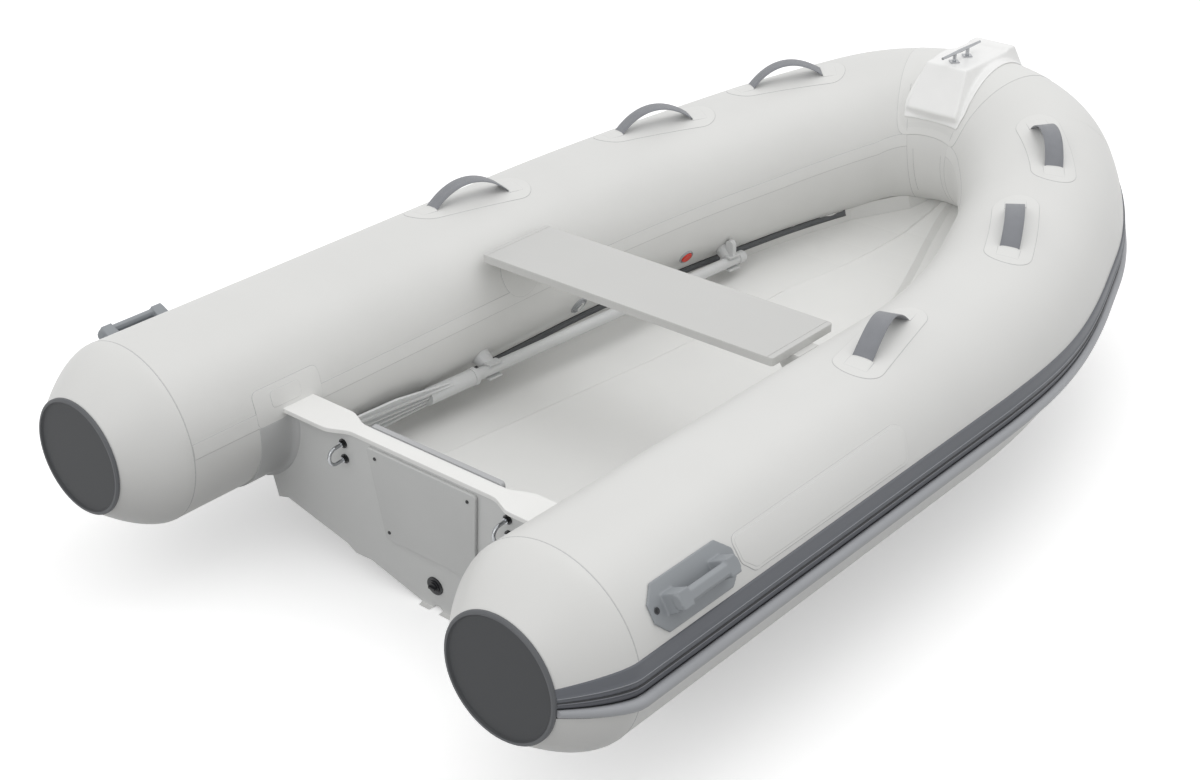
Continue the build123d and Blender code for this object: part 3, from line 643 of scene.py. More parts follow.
def coated_fabric(name, colour, mapped, painted_edge_shade=False):
    """PVC-coated polyester, calendered: an even satin skin with the weave just showing through.
    The real thread spacing is 0.6 mm, drawn at 3 mm so that it shows."""
    material, tree, shader, place = start_finish(name, colour, 0.44, cloud_mm=260, variation=0.02)
    shader.inputs["Coat Weight"].default_value = 0.08
    shader.inputs["Coat Roughness"].default_value = 0.3
    uneven(tree, shader, place.outputs["Object"], 1 / (110 * MM), 1.2, 0.35)
    where = place.outputs["UV" if mapped else "Object"]
    roughen(tree, shader, woven(tree, where, 3.0), 0.04, 0.5)
    if painted_edge_shade:
        # A grey line painted just inside the edge of a patch, lap or cuff: painted shade where the edge
        # stands off the tube
        edge = add_node(tree, "ShaderNodeAttribute", {"attribute_name": "edge"})
        ends = {"From Min": 0.6 * MM, "From Max": 1.9 * MM, "To Min": 0.55, "To Max": 0.0}
        painted_shade_line = add_node(tree, "ShaderNodeMapRange", ends, {"Value": edge.outputs["Fac"]})
        recolour(tree, shader, painted_shade_line.outputs["Result"], "85868A")
    return material


def band_rubber(colours):
    """Extruded rub-rail rubber: a plain upper web, then two fine ribs and a darker foot. The ribs carry
    painted highlights, and the groove and the lines above and below the bead are painted shade.
    """
    material, tree, shader, place = start_finish("Extruded rail rubber", colours.band, 0.5, cloud_mm=90)
    where = add_node(tree, "ShaderNodeSeparateXYZ", None, {"Vector": place.outputs["UV"]})
    ends = {"From Min": 0.0, "From Max": band_length()}
    share = add_node(tree, "ShaderNodeMapRange", ends, {"Value": where.outputs["Y"]})
    zones = add_node(tree, "ShaderNodeValToRGB", None, {"Fac": share.outputs["Result"]})
    zones.color_ramp.interpolation = "CONSTANT"
    stops = zones.color_ramp.elements
    # A new ramp has two stops
    for i, (position, colour) in enumerate(band_zones(colours)):
        stop = stops[i] if i < 2 else stops.new(position)
        stop.position, stop.color = position, linear(colour)
    tree.links.new(zones.outputs["Color"], shader.inputs["Base Color"])
    drawn_out = {"Scale": (6.0, 900.0, 1.0)}
    streaks = add_node(tree, "ShaderNodeMapping", drawn_out, {"Vector": place.outputs["UV"]})
    uneven(tree, shader, streaks.outputs[0], 1.0, 0.12, 0.4)
    return material


def moulded(name, colour, roughness, grain_mm, grain_depth, coat=0.0):
    """A moulded plastic or rubber: a fine even texture from the tool."""
    material, tree, shader, place = start_finish(name, colour, roughness)
    where = {"Vector": place.outputs["Object"]}
    grain = add_node(tree, "ShaderNodeTexVoronoi", {"Scale": 1 / (grain_mm * MM)}, where)
    roughen(tree, shader, grain.outputs["Distance"], grain_depth, 0.4)
    if coat:
        shader.inputs["Coat Weight"].default_value = coat
        shader.inputs["Coat Roughness"].default_value = 0.15
    return material


def painted_aluminium(name, colour, roughness=0.36):
    """Powder-coated aluminium sheet: a hard satin film with orange peel a few millimetres across,
    over sheet that isn't quite flat."""
    material, tree, shader, place = start_finish(name, colour, roughness, cloud_mm=320, variation=0.025)
    where = place.outputs["Object"]
    uneven(tree, shader, where, 1 / (4 * MM), 0.1, 0.35)
    uneven(tree, shader, where, 1 / (160 * MM), 1.5, 0.25, detail=1.0)
    return material


def stainless(name, colour, roughness):
    """Polished stainless steel: bright and sharp, with fine polishing lines."""
    material, tree, shader, place = start_finish(
        name, colour, roughness, metallic=1.0, cloud_mm=20, variation=0.08
    )
    drawn_out = {"Scale": (300.0, 300.0, 3000.0)}
    lines = add_node(tree, "ShaderNodeMapping", drawn_out, {"Vector": place.outputs["Object"]})
    uneven(tree, shader, lines.outputs[0], 1.0, 0.02, 0.3)
    return material


def webbing(colour):
    """Polyester webbing: a herringbone of 2 mm ribs, dull, with painted shade darkening the hollows
    between the ribs.
    """
    material, tree, shader, place = start_finish(
        "Woven polyester webbing", colour, 0.82, cloud_mm=30, variation=0.06
    )
    shader.inputs["Sheen Weight"].default_value = 0.25
    shader.inputs["Sheen Roughness"].default_value = 0.5
    roughen(tree, shader, woven(tree, place.outputs["UV"], 2.0), 0.5, 0.7)
    # The hollows between the ribs are painted darker, as painted shade
    across = {"wave_type": "BANDS", "bands_direction": "X", "Scale": RIB_SPACING / (2.0 * MM)}
    ribs = add_node(tree, "ShaderNodeTexWave", across, {"Vector": place.outputs["UV"]})
    ends = {"To Min": 0.22, "To Max": 0.0}
    painted_rib_shade = add_node(tree, "ShaderNodeMapRange", ends, {"Value": ribs.outputs["Fac"]})
    recolour(tree, shader, painted_rib_shade.outputs["Result"], "4E5055")
    return material


def cap_rubber(colours):
    """Moulded end-cap rubber: charcoal, a shade darker on the raised rim, with a matt tool grain."""
    material = moulded("Moulded end cap rubber", colours.end_cap, 0.55, 1.5, 0.08)
    tree = material.node_tree
    shader = next(n for n in tree.nodes if n.type == "BSDF_PRINCIPLED")
    place = next(n for n in tree.nodes if n.type == "TEX_COORD")
    # How far each place is from its own tube's axis, the same on both sides
    at = place.outputs["Object"]
    for settings in (
        {"operation": "ABSOLUTE"},
        {"operation": "SUBTRACT", 1: (AXIS_X, 0, AXIS_Z)},
        {"operation": "MULTIPLY", 1: (1, 0, 1)},
    ):
        at = add_node(tree, "ShaderNodeVectorMath", settings, {0: at}).outputs[0]
    radius = add_node(tree, "ShaderNodeVectorMath", {"operation": "LENGTH"}, {0: at})
    ends = {"From Min": CAP_RADIUS - 8 * MM, "From Max": CAP_RADIUS - 7 * MM}
    ring = add_node(tree, "ShaderNodeMapRange", ends, {"Value": radius.outputs["Value"]})
    recolour(tree, shader, ring.outputs["Result"], "5C5E61")
    return material


def paint(material, *nodes):
    """Gives CAD pieces their finish."""
    for node in nodes:
        piece = NODES[node]
        piece.data.materials.clear()
        piece.data.materials.append(material)


# ------------------------------------------------------------------ sizes and colours


def hex_colour(name, description, default):
    return StringProperty(name=name, description=description + ", as sRGB hex", default=default)


def length(name, description, default):
    return FloatProperty(name=name, description=description, default=default, min=0, unit="LENGTH")


def degrees_of(name, description, default):
    return FloatProperty(name=name, description=description + ", in degrees", default=default)


def power(name, description, default):
    return FloatProperty(name=name, description=description, default=default, unit="POWER")


class BoatSizes(bpy.types.PropertyGroup):
    shoulder_back: length("Shoulder", "Bow axis back to the corner where the sides draw in", 0.893)
    cheek_back: length("Cheek", "Bow axis back to the corner beside the bow", 0.282)
    cheek_inset: length("Cheek inset", "Side axis in to the corner beside the bow", 0.194)
    cheek_rise: length("Cheek rise", "Rise of the corner beside the bow", 0.065)
    nose_half_width: length("Nose half width", "Centreline out to the bow's last corner", 0.176)
    nose_flat: length("Nose flat", "Straight left on each side of the centreline", 0.004)
    band_thickness: length("Band thickness", "Rub band's thickness", 0.004)
    bead_height: length("Bead height", "Rub bead's height from the tube", 0.020)
    band_top: degrees_of("Band top", "Band's top edge, up from level", 15.0)
    band_lean: degrees_of("Band lean", "How far the band leans down at the bow", 6.0)
    strap_width: length("Strap width", "Width of the grab straps", 0.046)
    strap_rise: length("Strap rise", "How far a grab strap stands off the tube", 0.046)
    strap_span: length("Strap span", "How long a grab strap's free part is, along the tube", 0.216)
    strap_turn: degrees_of("Strap turn", "How far a grab strap points inboard", 12.0)


class BoatColours(bpy.types.PropertyGroup):
    fabric: hex_colour("Tube fabric", "Coated fabric of the tubes", "DEDEDC")
    patch: hex_colour("Patch", "Coated fabric of the patches", "E1E1DF")
    band: hex_colour("Band", "Rub band", "64676D")
    band_dark: hex_colour("Band foot", "Rub band's lower web", "5A5C62")
    bead: hex_colour("Bead", "Rub bead", "A8AAAE")
    end_cap: hex_colour("End cap", "Stern end caps", "2D2F32")
    handle: hex_colour("Handle", "Carry handles", "969A9E")
    strap: hex_colour("Strap", "Grab straps", "8E9095")
    paint: hex_colour("Paint", "Hull and brackets", "E2E2E0")
    # Set lighter than the hull's paint: painted light for the brightly lit cockpit floor
    deck: hex_colour("Deck", "Painted deck", "F1F1EF")
    bench: hex_colour("Bench", "Painted bench", "CBCBC9")
    collar: hex_colour("Collar", "Flanges that hold the transom", "C2C3C3")
    transom: hex_colour("Transom", "Transom and its plates", "D8D9D8")
    step: hex_colour("Bow step", "Moulded bow step", "F2F2F1")
    oar: hex_colour("Oar", "Oars and clips", "D4D5D5")
    relief: hex_colour("Relief valve", "Relief valve's disc", "E8351E")


class BoatStage(bpy.types.PropertyGroup):
    lens: FloatProperty(
        name="Lens", description="Camera's focal length", default=58.47, min=20, unit="CAMERA"
    )
    floor_colour: hex_colour("Floor", "Studio floor", "F4F4F4")
    floor_bounce: hex_colour("Floor bounce", "What the floor gives back to the underside", "7E7E7E")
    key_power: power("Key light", "Power of the main lamp", 45)
    fill_power: power("Fill light", "Power of the upper lamp", 50)


# Rub band's outline: (degrees round the tube, height from it as a share of the band's thickness)
BAND_OUTLINE = [
    # The plain upper web
    *[(0.0, 0.0), (-0.15, 0.55), (-0.5, 0.92), (-1.0, 1.0), (-7.6, 1.0)],
    # A fine ridge, and the web below it
    *[(-7.9, 1.4), (-8.3, 1.55), (-8.6, 1.4), (-8.8, 0.95), (-11.5, 0.95)],
    # A groove, a second ridge and the lower web
    *[(-11.7, 0.5), (-12.2, 0.5), (-12.4, 1.4), (-12.9, 1.55), (-13.3, 1.35)],
    *[(-13.6, 0.85), (-16.4, 0.85)],
    # The bead's bed and the lip that holds it
    *[(-16.8, 0.4), (-24.6, 0.4), (-24.8, 1.1), (-26.0, 1.1), (-26.4, 0.0)],
]


def band_points(top, thickness):
    """The rub band's profile, as (outboard, up) from the tube's axis."""
    points = []
    following = BAND_OUTLINE[1:] + BAND_OUTLINE[-1:]
    for (fall, share), (next_fall, next_share) in zip(BAND_OUTLINE, following):
        steps = max(1, round((fall - next_fall) / 1.5))
        for k in range(steps):
            angle = radians(top + fall + (next_fall - fall) * k / steps)
            radius = TUBE_RADIUS + SEAT_GAP + thickness * (share + (next_share - share) * k / steps)
            points.append((radius * cos(angle), radius * sin(angle)))
    return points


def profile_lengths(points):
    """How far along a profile each of its points is."""
    total = [0.0]
    for a, b in zip(points, points[1:]):
        total.append(total[-1] + hypot(b[0] - a[0], b[1] - a[1]))
    return total


def band_length():
    sizes = bpy.context.scene.boat_sizes
    return profile_lengths(band_points(sizes.band_top, sizes.band_thickness))[-1]


def band_zones(colours):
    """Where each colour begins down the band's profile, as a share of its length."""
    sizes = bpy.context.scene.boat_sizes
    points = band_points(sizes.band_top, sizes.band_thickness)
    lengths = profile_lengths(points)

    def share(fall):
        for point, distance in zip(points, lengths):
            if degrees(atan2(point[1], point[0])) <= sizes.band_top + fall + 0.01:
                return distance / lengths[-1]
        return 1.0

    # Near-black lines of painted shade
    painted_shade_line = "2E2F32"
    return [
        (0.0, colours.band),
        # The first fine ridge, painted lighter: a painted highlight
        (share(-7.9), "9A9CA1"),
        (share(-8.8), "5F6268"),
        # The groove, painted near black: painted shade
        (share(-11.5), painted_shade_line),
        # The second ridge, painted lighter: a painted highlight
        (share(-12.4), "7C7E84"),
        (share(-13.4), colours.band_dark),
        # The bead's bed, painted near black where it shows above the bead: painted shade
        (share(-16.4), painted_shade_line),
        # The lip under the bead, painted darkest: painted shadow below the bead
        (share(-24.6), "1C1D1F"),
    ]


# ------------------------------------------------------------------ shared places

TRANSOM_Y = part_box("motor_plate")[0][1]
CONE_LENGTH = cone_high[1] - cone_low[1]
cap_low, cap_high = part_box("end_cap_starboard")
CAP_RADIUS = (cap_high[0] - cap_low[0]) / 2
CONE_END = CAP_RADIUS - 3 * MM
board_low, board_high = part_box("transom")
BOARD_THICKNESS = 35 * MM
BOARD_RAKE = (board_high[1] - board_low[1] - BOARD_THICKNESS) / (board_high[2] - board_low[2])
# How far down the tube's side, in degrees, the bead's middle lies below the band's top
BEAD_FALL = 21.0
BEAD_HALF_WIDTH = 12.6 * MM
# Where the bow panels meet the side panels, and how far forward of it their second weld is
BOW_JOINT_Y = 1.155
BOW_JOINT_LAP = 0.04
WELD_WIDTH = 3 * MM
SEAM_RISE = 0.5 * MM
# The bare side panel's middle: its y, and its angle round the tube
PANEL_Y, PANEL_ANGLE = -0.663, 29.5
# The angles round the tube of the valves, and of the carry handle with its eyelet
VALVE_ANGLE = 180 + 29
HANDLE_ANGLE = 31.5
# How far the eyelet is from the handle's aft end
EYELET_INSET = 16 * MM
# Where the aft flap and its tab are glued: their y, and their angle round the tube
FLAP_Y, FLAP_ANGLE = -0.995, 168.0
TAB_Y, TAB_ANGLE = -1.0, 164.5
# The hull flange's edge rubber, and the black strip of painted shadow above it, run from this far
# forward of the transom to this y
FLANGE_STRIPS_START, FLANGE_STRIPS_END_Y = 0.05, 0.97
# The angles round the tube between which the collar joins the transom board to it
COLLAR_TOP, COLLAR_FOOT = 177, 250
# How far a tow eye's nuts reach abaft the board
NUT_REACH = 9.3 * MM


def board_aft(z):
    """Where the transom board's aft face is at this height."""
    return board_low[1] + BOARD_RAKE * (board_high[2] - z)


def cone_radius(back):
    """The stern cone's radius at this distance behind its seam."""
    share = min(max(back / CONE_LENGTH, 0.0), 1.0)
    return CONE_END + (TUBE_RADIUS - CONE_END) * (1 - share**1.5)


def rail_path(step=0.015):
    """The axis from one cap to the other, with how far the band leans and its size there."""
    count = round((axis.length + 2 * CONE_LENGTH) / step)
    lean = bpy.context.scene.boat_sizes.band_lean
    path, tilts, scales = [], [], []
    for i in range(count + 1):
        distance = -CONE_LENGTH + (axis.length + 2 * CONE_LENGTH) * i / count
        point = axis.at(distance)[0]
        share = min(max(point.y / 0.45, 0.0), 1.0)
        path.append(point)
        tilts.append(radians(lean) * share * share * (3 - 2 * share))
        scales.append(cone_radius(max(-distance, distance - axis.length)) / TUBE_RADIUS)
    return path, tilts, scales


def circle_profile(radius, segments=96):
    """A circle that starts and ends under the tube."""
    angles = [radians(-90 + 360 * i / segments) for i in range(segments + 1)]
    return [(radius * cos(a), radius * sin(a)) for a in angles]


def capped(mesh):
    """Closes a skin's open ends, with a sharp edge round each."""
    with editing(mesh) as work:
        rim = [edge for edge in work.edges if edge.is_boundary]
        for edge in rim:
            edge.smooth = False
        bmesh.ops.holes_fill(work, edges=rim, sides=0)
        bmesh.ops.recalc_face_normals(work, faces=work.faces)
    return mesh


def strip(name, places, width, thickness):
    """A glued seam strip along places on the tube, each (distance along, angle round)."""
    half = width / 2
    steps = [-half, -half + 0.4 * MM, -half + 1.2 * MM, -half + 2.4 * MM, 0.0]
    offsets = steps + [-step for step in reversed(steps[:-1])]
    points, edge = [], []
    for i, (distance, angle) in enumerate(places):
        before, after = places[max(i - 1, 0)], places[min(i + 1, len(places) - 1)]
        run, rise = after[0] - before[0], radians(after[1] - before[1]) * TUBE_RADIUS
        length = hypot(run, rise)
        for offset in offsets:
            inset = half - abs(offset)
            lift = min(inset / (1.2 * MM), 1.0) * thickness - (0.1 * MM if inset < 0.1 * MM else 0.0)
            turn = degrees(run / length * offset / TUBE_RADIUS)
            points.append(axis.on_tube(distance - rise / length * offset, angle + turn, lift))
            edge.append(inset)
    mesh = mesh_from(name, points, grid_faces(len(places), len(offsets)), {"edge": edge})
    face_away(mesh, 0, axis.at(places[0][0])[0])
    return mesh


def ring_places(distance, low, high, steps=60):
    return [(distance, low + (high - low) * i / steps) for i in range(steps + 1)]


def run_places(start, end, angle, steps=60):
    return [(start + (end - start) * (i / steps), angle) for i in range(steps + 1)]


class BOAT_OT_air_tubes(bpy.types.Operator):
    """Sweeps the air tubes' coated fabric skins, and turns the stern cones"""

    bl_idname = "boat.air_tubes"
    bl_label = "Air Tubes"

    def execute(self, context):
        colours = context.scene.boat_colours
        fabric = coated_fabric("PVC coated fabric", colours.fabric, mapped=True)
        end = axis.starts[4]

        def skin(name, first, last):
            steps = round((last - first) / 0.015)
            path = [axis.at(first + (last - first) * i / steps)[0] for i in range(steps + 1)]
            return capped(swept(name, path, circle_profile(TUBE_RADIUS), fabric))

        side = skin("tube_skin", 0.0, end)
        on_both_sides("tube_skin", side, fabric, stands_for="tube")
        bow = skin("bow_tube_skin", end, axis.length - end)
        show("bow_tube_skin", bow, fabric, stands_for=("tube_bow",))
        steps = 24
        backs = [CONE_LENGTH * i / steps for i in range(steps + 1)]
        profile = [(cone_radius(back), back) for back in backs]
        plain = coated_fabric("PVC coated cone fabric", colours.fabric, mapped=False)
        cone = turned("stern_cone", profile, (AXIS_X, cone_high[1], AXIS_Z), (0, -1, 0), segments=96)
        rims = (cone_low[1], cone_high[1])
        for edge in cone.edges:
            ends = [cone.vertices[v].co.y for v in edge.vertices]
            edge.use_edge_sharp = any(all(abs(y - rim) < 1e-5 for y in ends) for rim in rims)
        on_both_sides("stern_cone", cone, plain, stands_for="cone")
        return {"FINISHED"}


class BOAT_OT_seams(bpy.types.Operator):
    """Lays the welds and the glued laps between the tubes' panels"""

    bl_idname = "boat.seams"
    bl_label = "Seams"

    def execute(self, context):
        colours = context.scene.boat_colours
        lapped = coated_fabric("PVC coated seam lap", colours.patch, mapped=False, painted_edge_shade=True)
        bow_joint = along_to(BOW_JOINT_Y)
        strips = [
            (ring_places(0.006, -180, 180, 120), WELD_WIDTH),
            (run_places(0.008, bow_joint, 173.3, steps=160), 36 * MM),
            (run_places(0.03, 0.62, -50), 24 * MM),
            (ring_places(bow_joint, 130, 222), WELD_WIDTH),
            (ring_places(bow_joint + BOW_JOINT_LAP, 180, 222), WELD_WIDTH),
            (ring_places(bow_joint, -16.5, -150), WELD_WIDTH),
        ]
        laps = [strip("lap", places, width, SEAM_RISE) for places, width in strips]
        on_both_sides("seam_laps", joined("seam_laps", laps), lapped)
        return {"FINISHED"}


class BOAT_OT_patches(bpy.types.Operator):
    """Glues the reinforcing patches on the tubes"""

    bl_idname = "boat.patches"
    bl_label = "Patches"

    def execute(self, context):
        colours = context.scene.boat_colours
        fabric = coated_fabric("PVC coated patch", colours.patch, mapped=False, painted_edge_shade=True)
        panel = [(-0.29, 0.044), (0.262, 0.046), (0.292, 0.03)]
        panel += [(0.27, -0.044), (-0.256, -0.042), (-0.288, -0.012)]
        panel_inside = [(x * 0.98, y * 0.87) for x, y in panel]
        panel_place = (along_to(PANEL_Y), PANEL_ANGLE)
        shapes = [patch("patch", rounded_outline(panel, 0.022), panel_place, 1.0 * MM)]
        for number in (1, 2, 3):
            oval = [turned_inboard(x, y) for x, y in stadium(0.36, 0.115)]
            shapes.append(patch("patch", oval, (strap_place(number), 90), 0.8 * MM))
        low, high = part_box("bench_bracket_starboard")
        middle = along_to((low[1] + high[1]) / 2)
        shapes.append(patch("patch", stadium(0.1301, 0.13), (middle, 180 - 22), 0.8 * MM))
        shapes.append(patch("patch", rounded_outline(panel_inside, 0.018), panel_place, 1.4 * MM))
        flap = rounded_outline([(-0.095, -0.047), (-0.095, 0.04), (0.095, 0.04), (0.095, -0.047)], 0.02)
        shapes.append(patch("patch", flap, (along_to(FLAP_Y), FLAP_ANGLE), 0.7 * MM))
        tab = [(-0.043, -0.02), (-0.043, 0.02), (0.043, 0.02), (0.043, -0.02)]
        tab = rounded_outline(tab, 0.012)
        shapes.append(patch("patch", tab, (along_to(TAB_Y), TAB_ANGLE), 1.2 * MM))
        on_both_sides("tube_patches", joined("tube_patches", shapes), fabric)
        # Wider abaft, where the inside of the bend is short
        under = [(0.20, 0.292), (0.115, -0.285), (-0.115, -0.285), (-0.20, 0.292)]
        under = rounded_outline(under, 0.05, between=24)
        saddle = patch("bow_patch", under, (axis.length / 2, 90), 1.0 * MM)
        show("bow_patch", saddle, fabric)
        return {"FINISHED"}


def strap_place(number):
    """Distance along the tube to the middle of a grab strap."""
    low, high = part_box(f"grab_strap_{number}_starboard")
    return along_to((low[1] + high[1]) / 2)


def turned_inboard(along, across):
    """A place on a strap, as (along, round) the tube, once the strap has been turned."""
    turn = radians(bpy.context.scene.boat_sizes.strap_turn)
    return along * cos(turn) - across * sin(turn), along * sin(turn) + across * cos(turn)


def strap_point(place, along, across, lift):
    """A point over the top of the tube, by how far along and across its strap it is."""
    run, round_tube = turned_inboard(along, across)
    return axis.on_tube(place + run, 90 + degrees(round_tube / TUBE_RADIUS), lift)


class BOAT_OT_rub_rail(bpy.types.Operator):
    """Sweeps the rub band and its bead round the tubes, from cap to cap"""

    bl_idname = "boat.rub_rail"
    bl_label = "Rub Rail"

    def execute(self, context):
        sizes = context.scene.boat_sizes
        colours = context.scene.boat_colours
        path, tilts, scales = rail_path()
        rubber = band_rubber(colours)
        points = band_points(sizes.band_top, sizes.band_thickness)
        band = swept("rub_band_rail", path, points, rubber, tilts=tilts, scales=scales)
        show("rub_band_rail", band, rubber, stands_for=("rub_band",))
        seat = TUBE_RADIUS + sizes.band_thickness + SEAT_GAP
        height = sizes.bead_height - sizes.band_thickness + 1.2 * MM
        middle = radians(sizes.band_top - BEAD_FALL)
        profile = []
        for k in range(21):
            a = pi * k / 20
            radius = seat - 1.5 * MM + height * sin(a) ** 0.7
            angle = middle + BEAD_HALF_WIDTH * cos(a) / seat
            profile.append((radius * cos(angle), radius * sin(angle)))
        bead_rubber = moulded("Extruded bead rubber", colours.bead, 0.45, 1.0, 0.03)
        bead = swept("rub_bead_rail", path, profile, bead_rubber, tilts=tilts, scales=scales, solid=True)
        show("rub_bead_rail", bead, bead_rubber, stands_for=("rub_bead",))
        return {"FINISHED"}


class BOAT_OT_grab_straps(bpy.types.Operator):
    """Threads the grab straps through their cuffs, with their stitching"""

    bl_idname = "boat.grab_straps"
    bl_label = "Grab Straps"

    def execute(self, context):
        sizes = context.scene.boat_sizes
        colours = context.scene.boat_colours
        cloth = webbing(colours.strap)
        thread = moulded("Bonded polyester thread", "A9AAAD", 0.6, 0.6, 0.02)
        cuff_fabric = coated_fabric("PVC coated strap cuff", colours.patch, mapped=False, painted_edge_shade=True)
        half, thick = sizes.strap_span / 2, 2.4 * MM
        w, t = sizes.strap_width / 2, thick / 2
        profile = [(-w, 0.3 * t), (-w + 0.6 * t, t), (-w / 3, t)]
        profile += [(-x, z) for x, z in reversed(profile)]
        profile += [(x, -z) for x, z in reversed(profile)]
        stitch_outline = in_mm([(0, -1.6), (0.5, -1.2), (0.5, 1.2), (0, 1.6)])
        stitch = turned("stitch", stitch_outline, (0, 0, 0), (0, 0, 1), segments=6)
        for number in (1, 2, 3):
            place = strap_place(number)

            def at(u, across=0.0, lift=0.0):
                """A point of the arched strap, which dives under the skin beyond its ends."""
                rise = sizes.strap_rise * (1 - (u / half) ** 2)
                if abs(u) >= half:
                    rise = 1.1 * (half - abs(u))
                return strap_point(place, u, across, rise + t + lift)

            steps = 60
            reach = half + 0.008
            stops = [reach * (2 * i / steps - 1) for i in range(steps + 1)]
            path = [at(u) for u in stops]
            normals = [(at(u, 0.001) - point).normalized() for u, point in zip(stops, path)]
            strap = ribbon(f"grab_strap_{number}", path, normals, profile, cloth)
            places = []
            for end in (-1, 1):
                for row in (-0.76, 0.76):
                    for k in range(6):
                        u = end * (half - 0.008 - 0.0042 * k)
                        run = at(u + 0.001, w * row) - at(u - 0.001, w * row)
                        places.append((at(u, w * row, t), run, 0.0))
            stitches = copies(f"strap_stitches_{number}", places, stitch, thread)
            whole = joined(f"grab_strap_{number}", [strap, stitches])
            pair = [self.cuff(place, end, half, cuff_fabric) for end in (-1, 1)]
            cuffs = joined(f"strap_cuffs_{number}", pair)
            for side in SIDES:
                on_side(side, f"grab_webbing_{number}", whole, None, f"grab_strap_{number}")
                on_side(side, f"strap_cuffs_{number}", cuffs, cuff_fabric)
        return {"FINISHED"}

    def cuff(self, place, end, half, fabric):
        """The welded cuff beyond a strap's end: a low ramp that fades into the patch."""
        long, wide, start = 0.044, 0.054, half - 0.001
        points, edge = [], []
        steps = 16
        for i in range(-1, steps + 1):
            for j in range(steps + 1):
                u, v = max(i, 0) / steps, 2 * j / steps - 1
                x, y = end * (start + long * u), v * wide / 2
                flat = max(0.0, 1 - abs(v) ** 4.0)
                rise = (1.0 + 3.6 * (1 - u) ** 1.3 * flat**0.6) * MM
                if i == -1 or j in (0, steps) or i == steps:
                    rise = 0.6 * MM
                points.append(strap_point(place, x, y, rise))
                edge.append(min((1 - abs(v)) * wide / 2, (1 - u) * long, 0.003 + u * long))
        mesh = mesh_from("cuff", points, grid_faces(steps + 2, steps + 1), {"edge": edge})
        face_away(mesh, len(mesh.polygons) // 2, axis.at(place)[0])
        mesh.materials.append(fabric)
        return mesh


class BOAT_OT_valves(bpy.types.Operator):
    """Turns the inflation valves and the relief valves"""

    bl_idname = "boat.valves"
    bl_label = "Valves"

    def execute(self, context):
        colours = context.scene.boat_colours
        ring = moulded("Moulded grey valve plastic", "A9ABAE", 0.42, 1.0, 0.03)
        bright = moulded("Moulded white valve plastic", "E9E9E7", 0.35, 1.0, 0.02, coat=0.2)
        red = moulded("Moulded red valve plastic", colours.relief, 0.35, 1.0, 0.02, coat=0.2)
        # (radius, height), in millimetres
        outer = [(26, -3), (26, 2.2), (25.2, 3.4), (24, 3.9), (22.2, 3.9), (21.2, 3.2)]
        outer += [(20.6, 0.8), (19.4, 0.3)]
        inner = [(19.4, 0.3), (18.8, 0.6), (18.2, 4.8), (17.4, 6.0), (15.5, 6.6), (13.5, 6.3)]
        inner += [(0.0, 6.0)]
        for kind, disc in (("inflation_valve", bright), ("relief_valve", red)):
            low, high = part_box(f"{kind}_starboard")
            middle = Vector([(a + b) / 2 for a, b in zip(low, high)])
            place = along_to(middle.y)
            centre = axis.at(place)[0]
            outward = axis.on_tube(place, VALVE_ANGLE) - centre
            base = centre + outward
            scale = 1.0 if kind == "inflation_valve" else 0.85
            shell = turned("shell", in_mm(outer, scale), base, outward, closed=False)
            plug = turned("plug", in_mm(inner, scale), base, outward, closed=False)
            shell.materials.append(ring)
            plug.materials.append(ring if disc is bright else disc)
            meshes = [shell, plug]
            if disc is bright:
                meshes.append(self.handle(base, outward, disc))
            on_both_sides(f"{kind}_body", joined(kind, meshes), None, stands_for=kind)
        return {"FINISHED"}

    def handle(self, base, outward, finish_used):
        """The S-shaped key across an inflation valve's cap."""
        n = outward.normalized()
        u = Vector((0, 0, 1)) - n * n.z
        u.normalize()
        v = n.cross(u)
        shares = [2 * k / 24 - 1 for k in range(25)]
        centre = [(t * 14 * MM, sin(t * pi) * 4.2 * MM) for t in shares]
        rims = ([], [])
        for k, (x, y) in enumerate(centre):
            ax, ay = centre[max(k - 1, 0)]
            bx, by = centre[min(k + 1, 24)]
            length = hypot(bx - ax, by - ay)
            nx, ny = -(by - ay) / length, (bx - ax) / length
            half = 2.6 * MM * sqrt(max(1 - (abs(x) / (14.4 * MM)) ** 6, 0.05))
            rims[0].append((x + nx * half, y + ny * half))
            rims[1].append((x - nx * half, y - ny * half))
        outline = rims[0] + rims[1][::-1]
        points = []
        for height, inset in ((5.8, 0.0), (9.0, 0.0), (9.8, 0.25)):
            for i, (x, y) in enumerate(outline):
                mirror = outline[len(outline) - 1 - i]
                x2, y2 = x + (mirror[0] - x) * inset, y + (mirror[1] - y) * inset
                points.append(base + u * x2 + v * y2 + n * height * MM)
        count = len(outline)
        faces = grid_faces(3, count, closed=True)
        top = 2 * count
        for k in range(24):
            faces.append((top + k, top + k + 1, top + count - 2 - k, top + count - 1 - k))
        mesh = mesh_from("key", points, faces)
        face_outwards(mesh)
        mesh.materials.append(finish_used)
        return mesh


